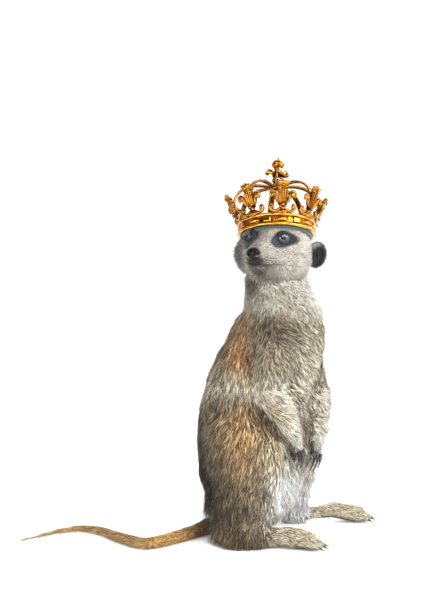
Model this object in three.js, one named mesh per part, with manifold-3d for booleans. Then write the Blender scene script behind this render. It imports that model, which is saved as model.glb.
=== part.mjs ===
// A meerkat standing upright as a life-size museum model, with a gilt crown on its head.
// Millimetres, +Z up. The animal's body heads along +X and its head is turned to its right, towards -Y.
// The model is shifted at the end so that its origin is the middle of its base on the floor.
import * as THREE from "three";
import { mergeVertices } from "three/addons/utils/BufferGeometryUtils.js";
import Module from "manifold-3d";

const wasm = await Module();
wasm.setup();

// ---- Driving dimensions ----
const GAP = 0.3; // free space kept between neighbouring pieces
const EYE_RADIUS = 5.2;
const EYE_ASIDE = 14.3; // each eye's distance from the head's middle plane
const CROWN_RADIUS = 33; // outside of the crown's band
const CROWN_PLACES = 8; // fleurons, and half-arches, round the crown
const BAND_HEIGHT = 11;
const BAND_WALL = 2;

const UP = new THREE.Vector3(0, 0, 1);
const degrees = THREE.MathUtils.degToRad;
const at = (x, y, z) => new THREE.Vector3(x, y, z);

// ---- Materials ----
const finish = (color, roughness, metalness = 0) => new THREE.MeshStandardMaterial({ color, roughness, metalness });
const FUR_BODY = finish(0x9a8a70, 0.95);
const FUR_HEAD = finish(0xc4beb0, 0.95);
const FUR_TAIL = finish(0xa47c4f, 0.95);
const FUR_LIMB = finish(0xc0b498, 0.95);
const EAR_SKIN = finish(0x343434, 0.8);
const NOSE_SKIN = finish(0x1d1e21, 0.45);
const EYE_GLASS = finish(0x1c2328, 0.08);
const CLAW_HORN = finish(0x2a2624, 0.35);
const GILT = finish(0xb57b32, 0.3, 1);
const LINING_FELT = finish(0x4f6a73, 0.9);

// ---- Solids ----
// A closed geometry as a solid: its vertices merged and its faces turned outwards.
function solid(geometry) {
  const bare = geometry.index ? geometry.toNonIndexed() : geometry.clone();
  for (const name of Object.keys(bare.attributes)) {
    if (name !== "position") bare.deleteAttribute(name);
  }
  const merged = mergeVertices(bare, 1e-4);
  const index = merged.index.array;
  const faces = [];
  for (let i = 0; i < index.length; i += 3) {
    const [a, b, c] = [index[i], index[i + 1], index[i + 2]];
    if (a !== b && b !== c && c !== a) faces.push(a, b, c);
  }
  const make = (triVerts) =>
    new wasm.Manifold(
      new wasm.Mesh({ numProp: 3, vertProperties: merged.attributes.position.array, triVerts: new Uint32Array(triVerts) }),
    );
  const made = make(faces);
  return made.volume() > 0 ? made : make(faces.reverse());
}

const joined = (pieces) => pieces.reduce((whole, piece) => whole.add(piece));

// The largest closed body of a solid, so that a cut leaves no loose scrap.
function largest(whole) {
  const bodies = whole.decompose();
  return bodies.reduce((best, body) => (body.volume() > best.volume() ? body : best));
}

function geometryOf(whole) {
  const mesh = whole.getMesh();
  const geometry = new THREE.BufferGeometry();
  geometry.setAttribute("position", new THREE.BufferAttribute(new Float32Array(mesh.vertProperties), 3));
  geometry.setIndex(new THREE.BufferAttribute(new Uint32Array(mesh.triVerts), 1));
  geometry.computeVertexNormals();
  return geometry;
}

function addPiece(group, name, whole, material) {
  const mesh = new THREE.Mesh(geometryOf(largest(whole)), material);
  mesh.name = name;
  group.add(mesh);
  return mesh;
}

// A value that runs smoothly through a list of evenly spaced ones, three at a time.
const through = (triples) => new THREE.CatmullRomCurve3(triples.map((t) => at(...t)), false, "catmullrom", 0.5);

// A closed body swept through rings, with rounded ends. A ring is [centre, side, front, back, turn]:
// half its width, its reach in front of and behind its centre, and the way its front faces, in degrees from +X.
// With a fixed facing, such as UP, turn isn't read. grow makes the whole body thicker, for a clearance.
function loft(rings, { around = 14, rows = 2, caps = 2, ends = [4, 4], facing = null, grow = 0 } = {}) {
  const path = new THREE.CatmullRomCurve3(rings.map((ring) => ring[0]), false, "catmullrom", 0.5);
  const girth = through(rings.map(([, side, front, back]) => [side, front, back ?? front]));
  const turning = through(rings.map((ring) => [ring[4] ?? 0, 0, 0]));
  const geometry = new THREE.CapsuleGeometry(1, 2, caps, around, rows * (rings.length - 1));
  const place = geometry.getAttribute("position");
  const ring = { centre: at(0, 0, 0), ahead: at(0, 0, 0), front: at(0, 0, 0), side: at(0, 0, 0) };
  for (let i = 0; i < place.count; i++) {
    const [across, height, towards] = [place.getX(i), place.getY(i), place.getZ(i)];
    const u = THREE.MathUtils.clamp((height + 1) / 2, 0, 1);
    const beyond = height < -1 ? (height + 1) * (ends[0] + grow) : Math.max(0, height - 1) * (ends[1] + grow);
    ring.ahead.copy(path.getTangent(u));
    ring.centre.copy(path.getPoint(u)).addScaledVector(ring.ahead, beyond);
    if (facing) ring.front.copy(facing);
    else {
      const turn = degrees(turning.getPoint(u).x);
      ring.front.set(Math.cos(turn), Math.sin(turn), 0);
    }
    ring.front.addScaledVector(ring.ahead, -ring.front.dot(ring.ahead)).normalize();
    ring.side.crossVectors(ring.ahead, ring.front);
    const reach = girth.getPoint(u);
    ring.centre.addScaledVector(ring.side, across * (reach.x + grow));
    ring.centre.addScaledVector(ring.front, towards * ((towards > 0 ? reach.y : reach.z) + grow));
    place.setXYZ(i, ring.centre.x, ring.centre.y, ring.centre.z);
  }
  return geometry;
}

// ---- Model and the groups in it ----
const model = new THREE.Group();
const headPose = new THREE.Group();
const crownPose = new THREE.Group();
model.add(headPose, crownPose);

// The head's own frame: +X to the nose, +Y to its left, +Z up.
const HEAD_PLACE = at(47, -8, 262.5);
const HEAD_TURN = degrees(-90 - 26.7);
const HEAD_LIFT = degrees(6);
const HEAD_TILT = degrees(-3);
headPose.position.copy(HEAD_PLACE);
headPose.rotation.set(HEAD_TILT, -HEAD_LIFT, HEAD_TURN, "ZYX");
headPose.updateMatrix();

// The crown's own frame: +Z along its axis, with the middle of its lower rim at the origin.
const CROWN_PLACE = at(48.3, 2, 268.4);
const CROWN_LEAN = degrees(-23); // it sits tipped back on the head
const CROWN_TURN = degrees(-84); // turns one fleuron to the front, a little to the animal's left
crownPose.position.copy(CROWN_PLACE);
crownPose.rotation.set(CROWN_LEAN, 0, 0);
crownPose.updateMatrix();

// ---- Flesh: each new piece is cut clear of those placed before it, and of the floor ----
const FLOOR_DEPTH = 60;
const floor = solid(new THREE.BoxGeometry(900, 900, FLOOR_DEPTH).translate(0, 0, -FLOOR_DEPTH / 2));
const placed = [floor];

// parts(grow) makes a piece's solids, that much thicker. The piece is their union, less what was placed before.
function flesh(name, material, parts, group = model) {
  const cut = placed.reduce((whole, other) => whole.subtract(other), joined(parts(0)));
  addPiece(group, name, cut, material);
  placed.push(joined(parts(GAP)));
}

// ---- Trunk: rump, chest and neck, one body parted with thin cuts ----
const TRUNK_RINGS = [
  [at(17, 9, 17), 31, 28, 29, -5],
  [at(26, 9, 42), 41, 44, 49, -6],
  [at(29, 9, 71), 43, 47, 52, -8],
  [at(30, 8, 102), 41, 46, 52.5, -12],
  [at(35, 6, 134), 37, 45, 50.5, -18],
  [at(45.5, 4, 162), 36, 43.5, 47, -26],
  [at(52, 2, 184), 36, 43, 44.5, -35],
  [at(53, 1, 203), 34.5, 39, 40, -47],
  [at(50.5, 0.5, 220), 31.5, 31.5, 32, -63],
  [at(49.8, 0, 236), 28, 26, 28.5, -78],
];
const trunkSolid = (grow) => solid(loft(TRUNK_RINGS, { around: 20, rows: 2, caps: 2, ends: [14, 12], grow }));

// The head's outline in its own frame, from the nape to the nose.
const HEAD_RINGS = [
  [at(-30, 0, 0), 17, 15.5, 17],
  [at(-20, 0, -2), 26, 24.5, 25],
  [at(-8, 0, -4), 31, 28.5, 28],
  [at(4, 0, -6.5), 31, 28.5, 28],
  [at(14, 0, -9.5), 26.5, 25, 23],
  [at(23, 0, -11), 18, 19, 16.5],
  [at(31, 0, -11.5), 11.5, 13.5, 12.5],
  [at(37, 0, -11.5), 8, 9.5, 9],
];
// Swellings and hollows of the head: centre, reach and how far the surface moves out.
const HEAD_FORMS = [
  [at(21, 0, 11), 8, -1.2], // dip between the brows
  [at(20, 16, 7.5), 8.5, -5.8], // eye sockets
  [at(20, -16, 7.5), 8.5, -5.8],
  [at(9, 28, -13), 12, 5], // cheeks
  [at(9, -28, -13), 12, 5],
  [at(31, 9, -14), 6, 1.6], // whisker pads
  [at(31, -9, -14), 6, 1.6],
  [at(27, 0, -26), 6, 1.5], // chin
];
function headGeometry(grow) {
  const geometry = loft(HEAD_RINGS, { around: 24, rows: 3, caps: 2, ends: [6, 3.5], facing: UP, grow });
  const place = geometry.getAttribute("position");
  const point = at(0, 0, 0);
  for (let i = 0; i < place.count; i++) {
    point.fromBufferAttribute(place, i);
    const move = HEAD_FORMS.reduce((sum, [centre, reach, out]) => {
      return sum + out * Math.exp(-point.distanceToSquared(centre) / (reach * reach));
    }, 0);
    const outward = at(point.x > 24 ? 0.3 : 0, point.y, point.z + 4).normalize();
    point.addScaledVector(outward, move);
    place.setXYZ(i, point.x, point.y, point.z);
  }
  return geometry;
}

// Eyes: each looks ahead, outwards and a little up.
const EYES = [
  ["left", 1],
  ["right", -1],
].map(([name, side]) => ({
  name,
  side,
  centre: at(16.6, side * EYE_ASIDE, 6.8),
  gaze: at(0.74, side * 0.66, 0.12).normalize(),
}));
const eyeball = (eye, radius) => {
  const ball = new THREE.SphereGeometry(radius, 10, 8).rotateX(Math.PI / 2);
  const look = new THREE.Quaternion().setFromUnitVectors(UP, eye.gaze);
  return solid(ball.applyQuaternion(look).translate(eye.centre.x, eye.centre.y, eye.centre.z));
};
// The lids: a soft rim, wider than it is high, that closes round the front of the ball.
const LID_RING = 5.3;
const LID_THICKNESS = 1.7;
const LID_HEIGHT_SHARE = 0.84;
function lids(eye, grow) {
  const rim = new THREE.TorusGeometry(LID_RING, LID_THICKNESS + grow, 5, 10).scale(1.12, LID_HEIGHT_SHARE, 1);
  const basis = new THREE.Matrix4();
  const across = at(0, 0, 1).cross(eye.gaze).normalize();
  basis.makeBasis(across, eye.gaze.clone().cross(across), eye.gaze);
  const middle = eye.centre.clone().addScaledVector(eye.gaze, 2.1);
  return solid(rim.applyMatrix4(basis).translate(middle.x, middle.y, middle.z));
}

// The line of the mouth: a groove from corner to corner, under the nose.
const MOUTH_DEPTH = 1.1;
const MOUTH_OPEN = 0.45; // half the groove's width
function mouthGroove() {
  const line = new THREE.SplineCurve([
    new THREE.Vector2(14, -16.4),
    new THREE.Vector2(20, -17.6),
    new THREE.Vector2(29, -17.4),
    new THREE.Vector2(36, -15.8),
    new THREE.Vector2(46, -14.6),
  ]).getPoints(7);
  const outline = new THREE.Shape([
    ...line.map((p) => new THREE.Vector2(p.x, p.y + MOUTH_OPEN)),
    ...line.reverse().map((p) => new THREE.Vector2(p.x, p.y - MOUTH_OPEN)),
  ]);
  const width = 60;
  const sheet = new THREE.ExtrudeGeometry(outline, { depth: width, bevelEnabled: false });
  sheet.rotateX(Math.PI / 2).translate(0, width / 2, 0);
  return solid(sheet).subtract(solid(headGeometry(-MOUTH_DEPTH)));
}

// The nose pad, with a nostril on each side and a cleft down its middle.
const NOSE_PLACE = at(40.5, 0, -8.2);
function nosePad(grow) {
  const pad = new THREE.SphereGeometry(1, 10, 7).rotateX(Math.PI / 2);
  const place = pad.getAttribute("position");
  for (let i = 0; i < place.count; i++) {
    const [x, y, z] = [place.getX(i), place.getY(i), place.getZ(i)];
    const taper = 1 - 0.28 * Math.max(0, -z); // narrower towards the lip
    place.setXYZ(i, x * (4.2 + grow), y * (6.2 + grow) * taper, z * (4.9 + grow));
  }
  return solid(pad.translate(NOSE_PLACE.x, NOSE_PLACE.y, NOSE_PLACE.z));
}
function nostrils() {
  const hollows = [1, -1].map((side) => {
    const hollow = new THREE.SphereGeometry(1, 6, 4).scale(2.6, 1.7, 1.3).rotateZ(side * 0.7).rotateX(side * 0.35);
    return solid(hollow.translate(NOSE_PLACE.x + 3.1, side * 3.7, NOSE_PLACE.z - 0.9));
  });
  const cleft = new THREE.BoxGeometry(3, 0.7, 7).translate(NOSE_PLACE.x + 4.6, 0, NOSE_PLACE.z - 2.6);
  return joined([...hollows, solid(cleft)]);
}

const headParts = (grow) => [solid(headGeometry(grow)), ...EYES.map((eye) => lids(eye, grow))];
const eyeRoom = joined(EYES.map((eye) => eyeball(eye, EYE_RADIUS + GAP)));
const toWorld = (whole, pose) => {
  const geometry = geometryOf(whole);
  return solid(geometry.applyMatrix4(pose.matrix));
};
const headClear = joined(headParts(GAP));

// ---- Ears: a cupped, rounded flap on each side, low on the head ----
function ear(side) {
  const shell = new THREE.SphereGeometry(1, 12, 7).scale(3.6, 8.4, 11.6);
  const hollow = new THREE.SphereGeometry(1, 10, 6).scale(3.4, 6.3, 9.2).translate(2.6, 0.3, 0);
  const fold = new THREE.CapsuleGeometry(0.9, 7, 1, 5, 1).rotateX(Math.PI / 2).translate(-0.4, 1.2, 0);
  const cup = solid(shell).subtract(solid(hollow)).add(solid(fold));
  const place = new THREE.Matrix4().compose(
    at(-17.5, side * 31.5, side > 0 ? -5.5 : -9.5), // the crown presses the right ear down
    new THREE.Quaternion().setFromEuler(new THREE.Euler(side * -0.12, 0.1, side * 0.42)),
    at(1, side, 1),
  );
  return solid(geometryOf(cup).applyMatrix4(place));
}

// ---- Crown, in its own frame ----
const BAND_TOP = BAND_HEIGHT;
const onAxis = (r, h) => new THREE.Vector2(r, h);
function ringSolid(profile, segments) {
  const closed = [...profile, profile[0]];
  return solid(new THREE.LatheGeometry(closed, segments).rotateX(Math.PI / 2));
}
// The band's section: a roll at its foot and head, and a sunk frieze between them.
const bandProfile = (grow) => [
  onAxis(CROWN_RADIUS - BAND_WALL - grow, -grow),
  onAxis(CROWN_RADIUS + 0.4 + grow, -grow),
  onAxis(CROWN_RADIUS + 0.9 + grow, 1.6),
  onAxis(CROWN_RADIUS - 0.3 + grow, 3),
  onAxis(CROWN_RADIUS - 0.1 + grow, 8.2),
  onAxis(CROWN_RADIUS + 1.2 + grow, 9.6),
  onAxis(CROWN_RADIUS + 0.7 + grow, BAND_TOP + grow),
  onAxis(CROWN_RADIUS - BAND_WALL + 0.4 - grow, BAND_TOP + grow),
];
const bandSolid = (grow) => ringSolid(bandProfile(grow), 28);

// Moves a geometry from a place's own frame (x outwards, y along the band, z up) to its angle round the crown.
const roundCrown = (geometry, step) => geometry.rotateZ(CROWN_TURN + (step * 2 * Math.PI) / CROWN_PLACES);

function friezeMotifs() {
  const motifs = [];
  for (let i = 0; i < CROWN_PLACES; i++) {
    const oval = new THREE.SphereGeometry(1, 6, 4).scale(1.3, 3.4, 2).translate(CROWN_RADIUS - 0.2, 0, 5.6);
    const plaque = new THREE.BoxGeometry(1.6, 5.2, 4.6).translate(CROWN_RADIUS, 0, 5.6);
    const stone = new THREE.OctahedronGeometry(1.5).translate(CROWN_RADIUS + 0.7, 0, 5.6);
    motifs.push(solid(roundCrown(oval, i)));
    motifs.push(solid(roundCrown(plaque, i + 0.5)), solid(roundCrown(stone, i + 0.5)));
  }
  return motifs;
}

// A fleuron stands on the band and leans outwards. Its own frame: x outwards, y across, z up its stem.
const FLEURON_LEAN = degrees(21);
const FLEURON_FOOT = at(CROWN_RADIUS - 0.6, 0, BAND_TOP);
const PETAL_RINGS = [
  [at(0.6, 0, 1.2), 4.4, 2.6],
  [at(0, 0, 5), 2.8, 1.6],
  [at(0, 0, 9), 3.9, 2.2],
  [at(0.1, 0, 15.5), 4.7, 2.6],
  [at(0.8, 0, 22), 4.7, 2.4],
  [at(2.4, 0, 26), 5.7, 1.9],
];
const asFleuron = (geometry) =>
  geometry.rotateY(FLEURON_LEAN).translate(FLEURON_FOOT.x, FLEURON_FOOT.y, FLEURON_FOOT.z);
const petal = (grow) =>
  loft(PETAL_RINGS, { around: 6, rows: 1, caps: 1, ends: [1.5, 1], facing: at(1, 0, 0), grow });
function scroll(side) {
  const rings = [
    [at(0, side * 2.2, 8.4), 1.5, 1.4],
    [at(0.4, side * 6.2, 13.6), 1.4, 1.4],
    [at(1, side * 9.8, 14.8), 1.6, 1.7],
    [at(1.2, side * 9.4, 11.8), 2, 2],
  ];
  return loft(rings, { around: 4, rows: 1, caps: 1, ends: [1, 1], facing: at(1, 0, 0) });
}
function footScroll(side) {
  const rings = [
    [at(0.4, side * 1.6, 2.6), 1.6, 1.5],
    [at(0.2, side * 7.8, 2), 1.5, 1.5],
    [at(-0.5, side * 10.4, 5.2), 1.8, 1.8],
  ];
  return loft(rings, { around: 4, rows: 1, caps: 1, ends: [0.5, 0.9], facing: at(1, 0, 0) });
}
function fleuron(step) {
  const collar = new THREE.CylinderGeometry(1, 1, 1.9, 6).rotateX(Math.PI / 2).scale(2.7, 4.5, 1).translate(0, 0, 7.4);
  const shapes = [petal(0), collar];
  for (const side of [1, -1]) {
    shapes.push(scroll(side), footScroll(side));
  }
  return joined(shapes.map((shape) => solid(roundCrown(asFleuron(shape), step))));
}

// A half-arch springs from behind its fleuron, rises, and dips a little to the hub.
const ARCH_LINE = [
  [35.4, 23],
  [37, 29],
  [35.2, 36],
  [29, 42.6],
  [20, 45.9],
  [11, 46],
  [4.6, 44.6],
];
const ARCH_WIDTH = 5.4;
const ARCH_DEPTH = 1.9;
const HUB_RADIUS = 5.6;
function halfArch(step) {
  // Its section: flat below, with a shallow groove along its top.
  const section = new THREE.Shape(
    [
      [-0.5, -0.5],
      [0.5, -0.5],
      [0.5, 0.5],
      [0, 0.05],
      [-0.5, 0.5],
    ].map(([across, deep]) => new THREE.Vector2(deep * ARCH_DEPTH, across * ARCH_WIDTH)),
  );
  const line = new THREE.CatmullRomCurve3(ARCH_LINE.map(([r, h]) => at(r, 0, h)));
  const frames = line.computeFrenetFrames;
  line.computeFrenetFrames = (segments, closed) => {
    const made = frames.call(line, segments, closed);
    // Every step keeps the arch's sides upright: the first normal lies in its plane, out and up.
    made.tangents.forEach((ahead, i) => {
      made.binormals[i].set(0, 1, 0);
      made.normals[i].crossVectors(made.binormals[i], ahead);
    });
    return made;
  };
  const bar = new THREE.ExtrudeGeometry(section, { steps: 7, bevelEnabled: false, extrudePath: line });
  const clear = solid(roundCrown(asFleuron(petal(GAP)), step)).add(hub(GAP));
  return solid(roundCrown(bar, step)).intersect(solid(roundCrown(archSector(), step))).subtract(clear);
}
// The slice of the crown that one half-arch may fill, so that neighbours stay apart near the hub.
function archSector() {
  const [half, reach] = [Math.PI / CROWN_PLACES, 60];
  const apex = GAP / 2 / Math.sin(half);
  const slice = new THREE.Shape([
    new THREE.Vector2(apex, 0),
    new THREE.Vector2(reach, -(reach - apex) * Math.tan(half)),
    new THREE.Vector2(reach, (reach - apex) * Math.tan(half)),
  ]);
  return new THREE.ExtrudeGeometry(slice, { depth: reach, bevelEnabled: false });
}

// The hub that the arches meet at.
function hub(grow) {
  const profile = [
    onAxis(0, 42 - grow),
    onAxis(HUB_RADIUS - 1.6 + grow, 42 - grow),
    onAxis(HUB_RADIUS + grow, 43.6),
    onAxis(HUB_RADIUS + grow, 46.4),
    onAxis(HUB_RADIUS - 1.6 + grow, 48 + grow),
    onAxis(0, 48 + grow),
  ];
  return solid(new THREE.LatheGeometry(profile, 16).rotateX(Math.PI / 2));
}
// The finial over it: a stem, four scrolled leaves and a bulb with a point.
const FINIAL_FOOT = 46;
const FINIAL_TOP = 74;
const FINIAL_LEAN = 5; // degrees, to the animal's left
function finial() {
  const profile = [
    [0, 46],
    [3.6, 46],
    [2.8, 49],
    [4.3, 51.5],
    [3.4, 54],
    [2.4, 57],
    [2.3, 61],
    [3.2, 63],
    [5.1, 65.4],
    [5.1, 68],
    [3.4, 70.2],
    [1.1, 71.4],
    [0, FINIAL_TOP],
  ].map(([r, h]) => onAxis(r, h));
  const stem = solid(new THREE.LatheGeometry(profile, 10).rotateX(Math.PI / 2));
  const leaves = [];
  for (let i = 0; i < 4; i++) {
    const rings = [
      [at(2, 0, 53), 2, 1.5],
      [at(6, 0, 60.4), 1.9, 1.4],
      [at(9.4, 0, 60.2), 2, 1.7],
      [at(9, 0, 57), 2, 1.9],
    ];
    const leaf = loft(rings, { around: 4, rows: 1, caps: 1, ends: [0.6, 1], facing: at(0, 1, 0) });
    leaves.push(solid(leaf.rotateZ(CROWN_TURN + (i * Math.PI) / 2)));
  }
  const upright = joined([stem, ...leaves]).translate(0, 0, -FINIAL_FOOT);
  return upright.rotate(0, FINIAL_LEAN, 0).translate(0, 0, FINIAL_FOOT).add(hub(0));
}

// What the head and ears keep clear of: the band, with its lining's room.
const bandRoom = ringSolid(
  [
    onAxis(CROWN_RADIUS - BAND_WALL - GAP * 2, -GAP * 2),
    onAxis(CROWN_RADIUS + 1.6 + GAP, -GAP * 2),
    onAxis(CROWN_RADIUS + 1.6 + GAP, BAND_TOP + GAP),
    onAxis(CROWN_RADIUS - BAND_WALL - GAP * 2, BAND_TOP + GAP),
  ],
  40,
);
const crownInHead = headPose.matrix.clone().invert().multiply(crownPose.matrix);
const headInCrown = crownInHead.clone().invert();
const bandRoomAtHead = solid(geometryOf(bandRoom).applyMatrix4(crownInHead));
const liningRoom = ringSolid([onAxis(20, -2.4), onAxis(35.4, -2.4), onAxis(35.4, 12), onAxis(20, 12)], 24);
const liningRoomAtHead = solid(geometryOf(liningRoom).applyMatrix4(crownInHead));
const bandRoomInWorld = toWorld(bandRoom, crownPose);

// ---- Head pieces ----
const headSolid = joined(headParts(0)).subtract(eyeRoom).subtract(mouthGroove()).subtract(bandRoomAtHead);
addPiece(headPose, "head", headSolid, FUR_HEAD);
for (const eye of EYES) addPiece(headPose, `eye_${eye.name}`, eyeball(eye, EYE_RADIUS), EYE_GLASS);
addPiece(headPose, "nose", nosePad(0).subtract(nostrils()).subtract(headClear), NOSE_SKIN);
for (const eye of EYES) {
  addPiece(headPose, `ear_${eye.name}`, ear(eye.side).subtract(headClear).subtract(liningRoomAtHead), EAR_SKIN);
}

// ---- Crown pieces ----
addPiece(crownPose, "crown_band", joined([bandSolid(0), ...friezeMotifs()]), GILT);
for (let i = 0; i < CROWN_PLACES; i++) {
  addPiece(crownPose, `crown_fleuron_${i + 1}`, fleuron(i).subtract(bandSolid(GAP)), GILT);
  addPiece(crownPose, `crown_arch_${i + 1}`, halfArch(i), GILT);
}
addPiece(crownPose, "crown_finial", finial(), GILT);
// The lining: a padded ring that fills the room between the band and the head.
const LINING_OUTSIDE = CROWN_RADIUS - BAND_WALL - GAP * 1.6;
const lining = ringSolid(
  [
    onAxis(LINING_OUTSIDE - 3.4, -1.6),
    onAxis(LINING_OUTSIDE - 0.8, -2.2),
    onAxis(LINING_OUTSIDE, -0.8),
    onAxis(LINING_OUTSIDE, 5),
    onAxis(LINING_OUTSIDE - 3.4, 5),
  ],
  20,
);
const headClearInCrown = solid(geometryOf(headClear.add(eyeRoom)).applyMatrix4(headInCrown));
addPiece(crownPose, "crown_lining", lining.subtract(headClearInCrown), LINING_FELT);

// ---- Trunk pieces ----
placed.push(toWorld(headClear, headPose), bandRoomInWorld, toWorld(liningRoom, crownPose));
for (const eye of EYES) placed.push(toWorld(solid(geometryOf(ear(eye.side))), headPose));
const CUT_WIDE = 300;
const trunkCut = (height, lean) =>
  solid(new THREE.BoxGeometry(CUT_WIDE, CUT_WIDE, GAP).rotateY(degrees(lean)).translate(40, 0, height));
const trunkWhole = placed.reduce((whole, other) => whole.subtract(other), trunkSolid(0));
const trunkPieces = trunkWhole
  .subtract(trunkCut(206, 6))
  .subtract(trunkCut(128, 10))
  .decompose()
  .sort((a, b) => b.volume() - a.volume())
  .slice(0, 3)
  .sort((a, b) => a.boundingBox().min[2] - b.boundingBox().min[2]);
["belly", "chest", "neck"].forEach((name, i) => addPiece(model, name, trunkPieces[i], FUR_BODY));
placed.push(trunkSolid(GAP));

// ---- Legs ----
// Each side's leg: thigh and shank rings run downwards, the foot's from the heel to the ball.
const LEGS = {
  right: {
    thigh: [
      [at(10, -18, 103), 15, 27, 28, -8],
      [at(19, -23, 84), 18, 37, 37, -8],
      [at(26, -26, 64), 17, 34, 38, -8],
      [at(27, -28, 44), 14, 27, 33, -8],
    ],
    shank: [
      [at(28, -27, 44), 15, 27, 35, -10],
      [at(25, -26, 26), 13.5, 21, 31, -10],
      [at(22, -27.5, 6), 13.5, 20, 31, -10],
    ],
    heel: at(18, -26, 5.5),
    ball: at(78, -36, 6),
    arch: 0,
    instep: 4, // how much higher the long fur over the instep stands
  },
  left: {
    thigh: [
      [at(30, 33, 98), 15, 28, 28, 0],
      [at(44, 36, 80), 17, 36, 34, 0],
      [at(54, 38, 62), 16, 31, 34, 0],
      [at(60, 38, 44), 14, 30, 28, 0],
    ],
    shank: [
      [at(60, 38, 44), 15, 30, 28, 0],
      [at(64, 39, 26), 12, 25, 24, 0],
      [at(66, 41, 10), 9, 15, 15, 0],
    ],
    heel: at(62, 42, 5),
    ball: at(127, 46, 6.5),
    arch: 3.2,
    instep: 0.5,
  },
};
const TOES = 4;
const TOE_SPACING = 4.6;

// A toe from its root to its tip, and the frame that its claw continues in.
function toeLine(leg, i) {
  const ahead = leg.ball.clone().sub(leg.heel).setZ(0).normalize();
  const side = UP.clone().cross(ahead);
  const place = i - (TOES - 1) / 2; // from -1.5 to 1.5 across the foot
  const shorter = 1.6 * place * place;
  const spread = side.clone().multiplyScalar(place * 0.09);
  const direction = ahead.clone().add(spread).normalize();
  const root = leg.ball.clone().addScaledVector(side, place * TOE_SPACING).addScaledVector(ahead, -shorter);
  return { root, direction, side };
}
function footParts(leg) {
  const ahead = leg.ball.clone().sub(leg.heel).setZ(0).normalize();
  const length = leg.ball.clone().sub(leg.heel).setZ(0).length();
  const on = (share, z) => leg.heel.clone().addScaledVector(ahead, share * length).setZ(z);
  const sole = [
    [on(0, 6.5), 8, 8, 7],
    [on(0.3, 7 + leg.arch * 0.6), 7.4, 8 + leg.instep * 0.6, 7],
    [on(0.62, 8 + leg.arch), 8, 8 + leg.instep, 7.4],
    [on(0.85, 7.6 + leg.arch * 0.3), 9.4, 8.2 + leg.instep * 0.7, 7.8],
    [on(1, 6.2), 9.6, 9, 6.4],
  ];
  return (grow) => {
    const shapes = [loft(sole, { around: 10, rows: 1, caps: 2, ends: [5, 4], facing: UP, grow })];
    for (let i = 0; i < TOES; i++) {
      const { root, direction } = toeLine(leg, i);
      const toe = [
        [root.clone().setZ(7.2), 2.8, 5.2],
        [root.clone().addScaledVector(direction, 5).setZ(6.2), 2.7, 4.8],
        [root.clone().addScaledVector(direction, 10).setZ(4.2), 2.5, 3.5],
      ];
      shapes.push(loft(toe, { around: 5, rows: 1, caps: 1, ends: [1, 2], facing: UP, grow }));
    }
    return shapes.map(solid);
  };
}
// A claw: a tapered, curved horn from its root along a direction, drooping by drop over its length.
function claw(root, direction, drop, length, thick) {
  const point = (share) =>
    root.clone().addScaledVector(direction, length * share).addScaledVector(drop, length * 0.45 * share * share);
  const rings = [0, 0.35, 0.7, 1].map((share) => [point(share), thick * 0.75 * (1 - share * 0.8), thick * (1 - share * 0.8)]);
  return loft(rings, { around: 5, rows: 1, caps: 1, ends: [0.6, 0.5], facing: drop.clone().negate() });
}

for (const [name, leg] of Object.entries(LEGS)) {
  flesh(`thigh_${name}`, FUR_BODY, (grow) => [solid(loft(leg.thigh, { around: 14, rows: 2, caps: 2, ends: [20, 6], grow }))]);
  flesh(`shank_${name}`, FUR_BODY, (grow) => [solid(loft(leg.shank, { around: 14, rows: 2, caps: 2, ends: [2, 9], grow }))]);
  flesh(`foot_${name}`, FUR_LIMB, footParts(leg));
  for (let i = 0; i < TOES; i++) {
    const { root, direction } = toeLine(leg, i);
    const tip = root.clone().addScaledVector(direction, 10.6).setZ(4.1);
    const horn = claw(tip, direction, at(0, 0, -1), 5.2, 1.5);
    flesh(`claw_foot_${name}_${i + 1}`, CLAW_HORN, () => [solid(horn)]);
  }
}

// ---- Arms: upper arm, forearm and a hand that hangs before the belly ----
const ARMS = {
  right: {
    upper: [
      [at(47, -22, 178), 14, 20, 19, -20],
      [at(44, -31, 160), 13.5, 18, 17, -20],
      [at(41, -37, 143), 12.5, 16, 15.5, -20],
    ],
    fore: [
      [at(40, -37.5, 141), 12, 15.5, 15.5, -25],
      [at(48.5, -38.5, 128), 10.5, 13.5, 14, -25],
      [at(57, -36.5, 113.5), 8.5, 9.5, 10.5, -25],
      [at(61, -33, 102.5), 6.5, 7, 7, -25],
    ],
    hand: [at(62, -31.5, 99.5), at(65, -29.5, 92)],
    spreadTurn: -65,
  },
  left: {
    upper: [
      [at(70, 20, 176), 14, 19, 17, -10],
      [at(76, 22, 155), 13.5, 17, 16, -10],
      [at(81.5, 21, 134), 12.5, 15, 14, -10],
    ],
    fore: [
      [at(82, 20.5, 132), 12, 15, 13, -15],
      [at(84.5, 13, 119), 11, 14, 12, -15],
      [at(85.5, 4, 106), 8.5, 10, 9, -15],
      [at(84.5, -3, 95.5), 6.5, 7, 6.5, -15],
    ],
    hand: [at(84, -5, 92.5), at(84, -7.5, 84)],
    spreadTurn: -55,
  },
};
const FINGERS = 4;
const FINGER_SPACING = 3.6;
function fingerLine(arm, i) {
  const [wrist, palm] = arm.hand;
  const down = palm.clone().sub(wrist).normalize();
  const turn = degrees(arm.spreadTurn);
  const across = at(Math.cos(turn), Math.sin(turn), 0);
  const place = i - (FINGERS - 1) / 2;
  const direction = down.clone().addScaledVector(across, place * 0.07).normalize();
  const root = palm.clone().addScaledVector(across, place * FINGER_SPACING);
  root.addScaledVector(down, -0.8 * place * place);
  const inward = across.clone().cross(down).normalize(); // towards the belly, where the palm faces
  if (inward.x > 0) inward.negate();
  return { root, direction, inward };
}
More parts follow.
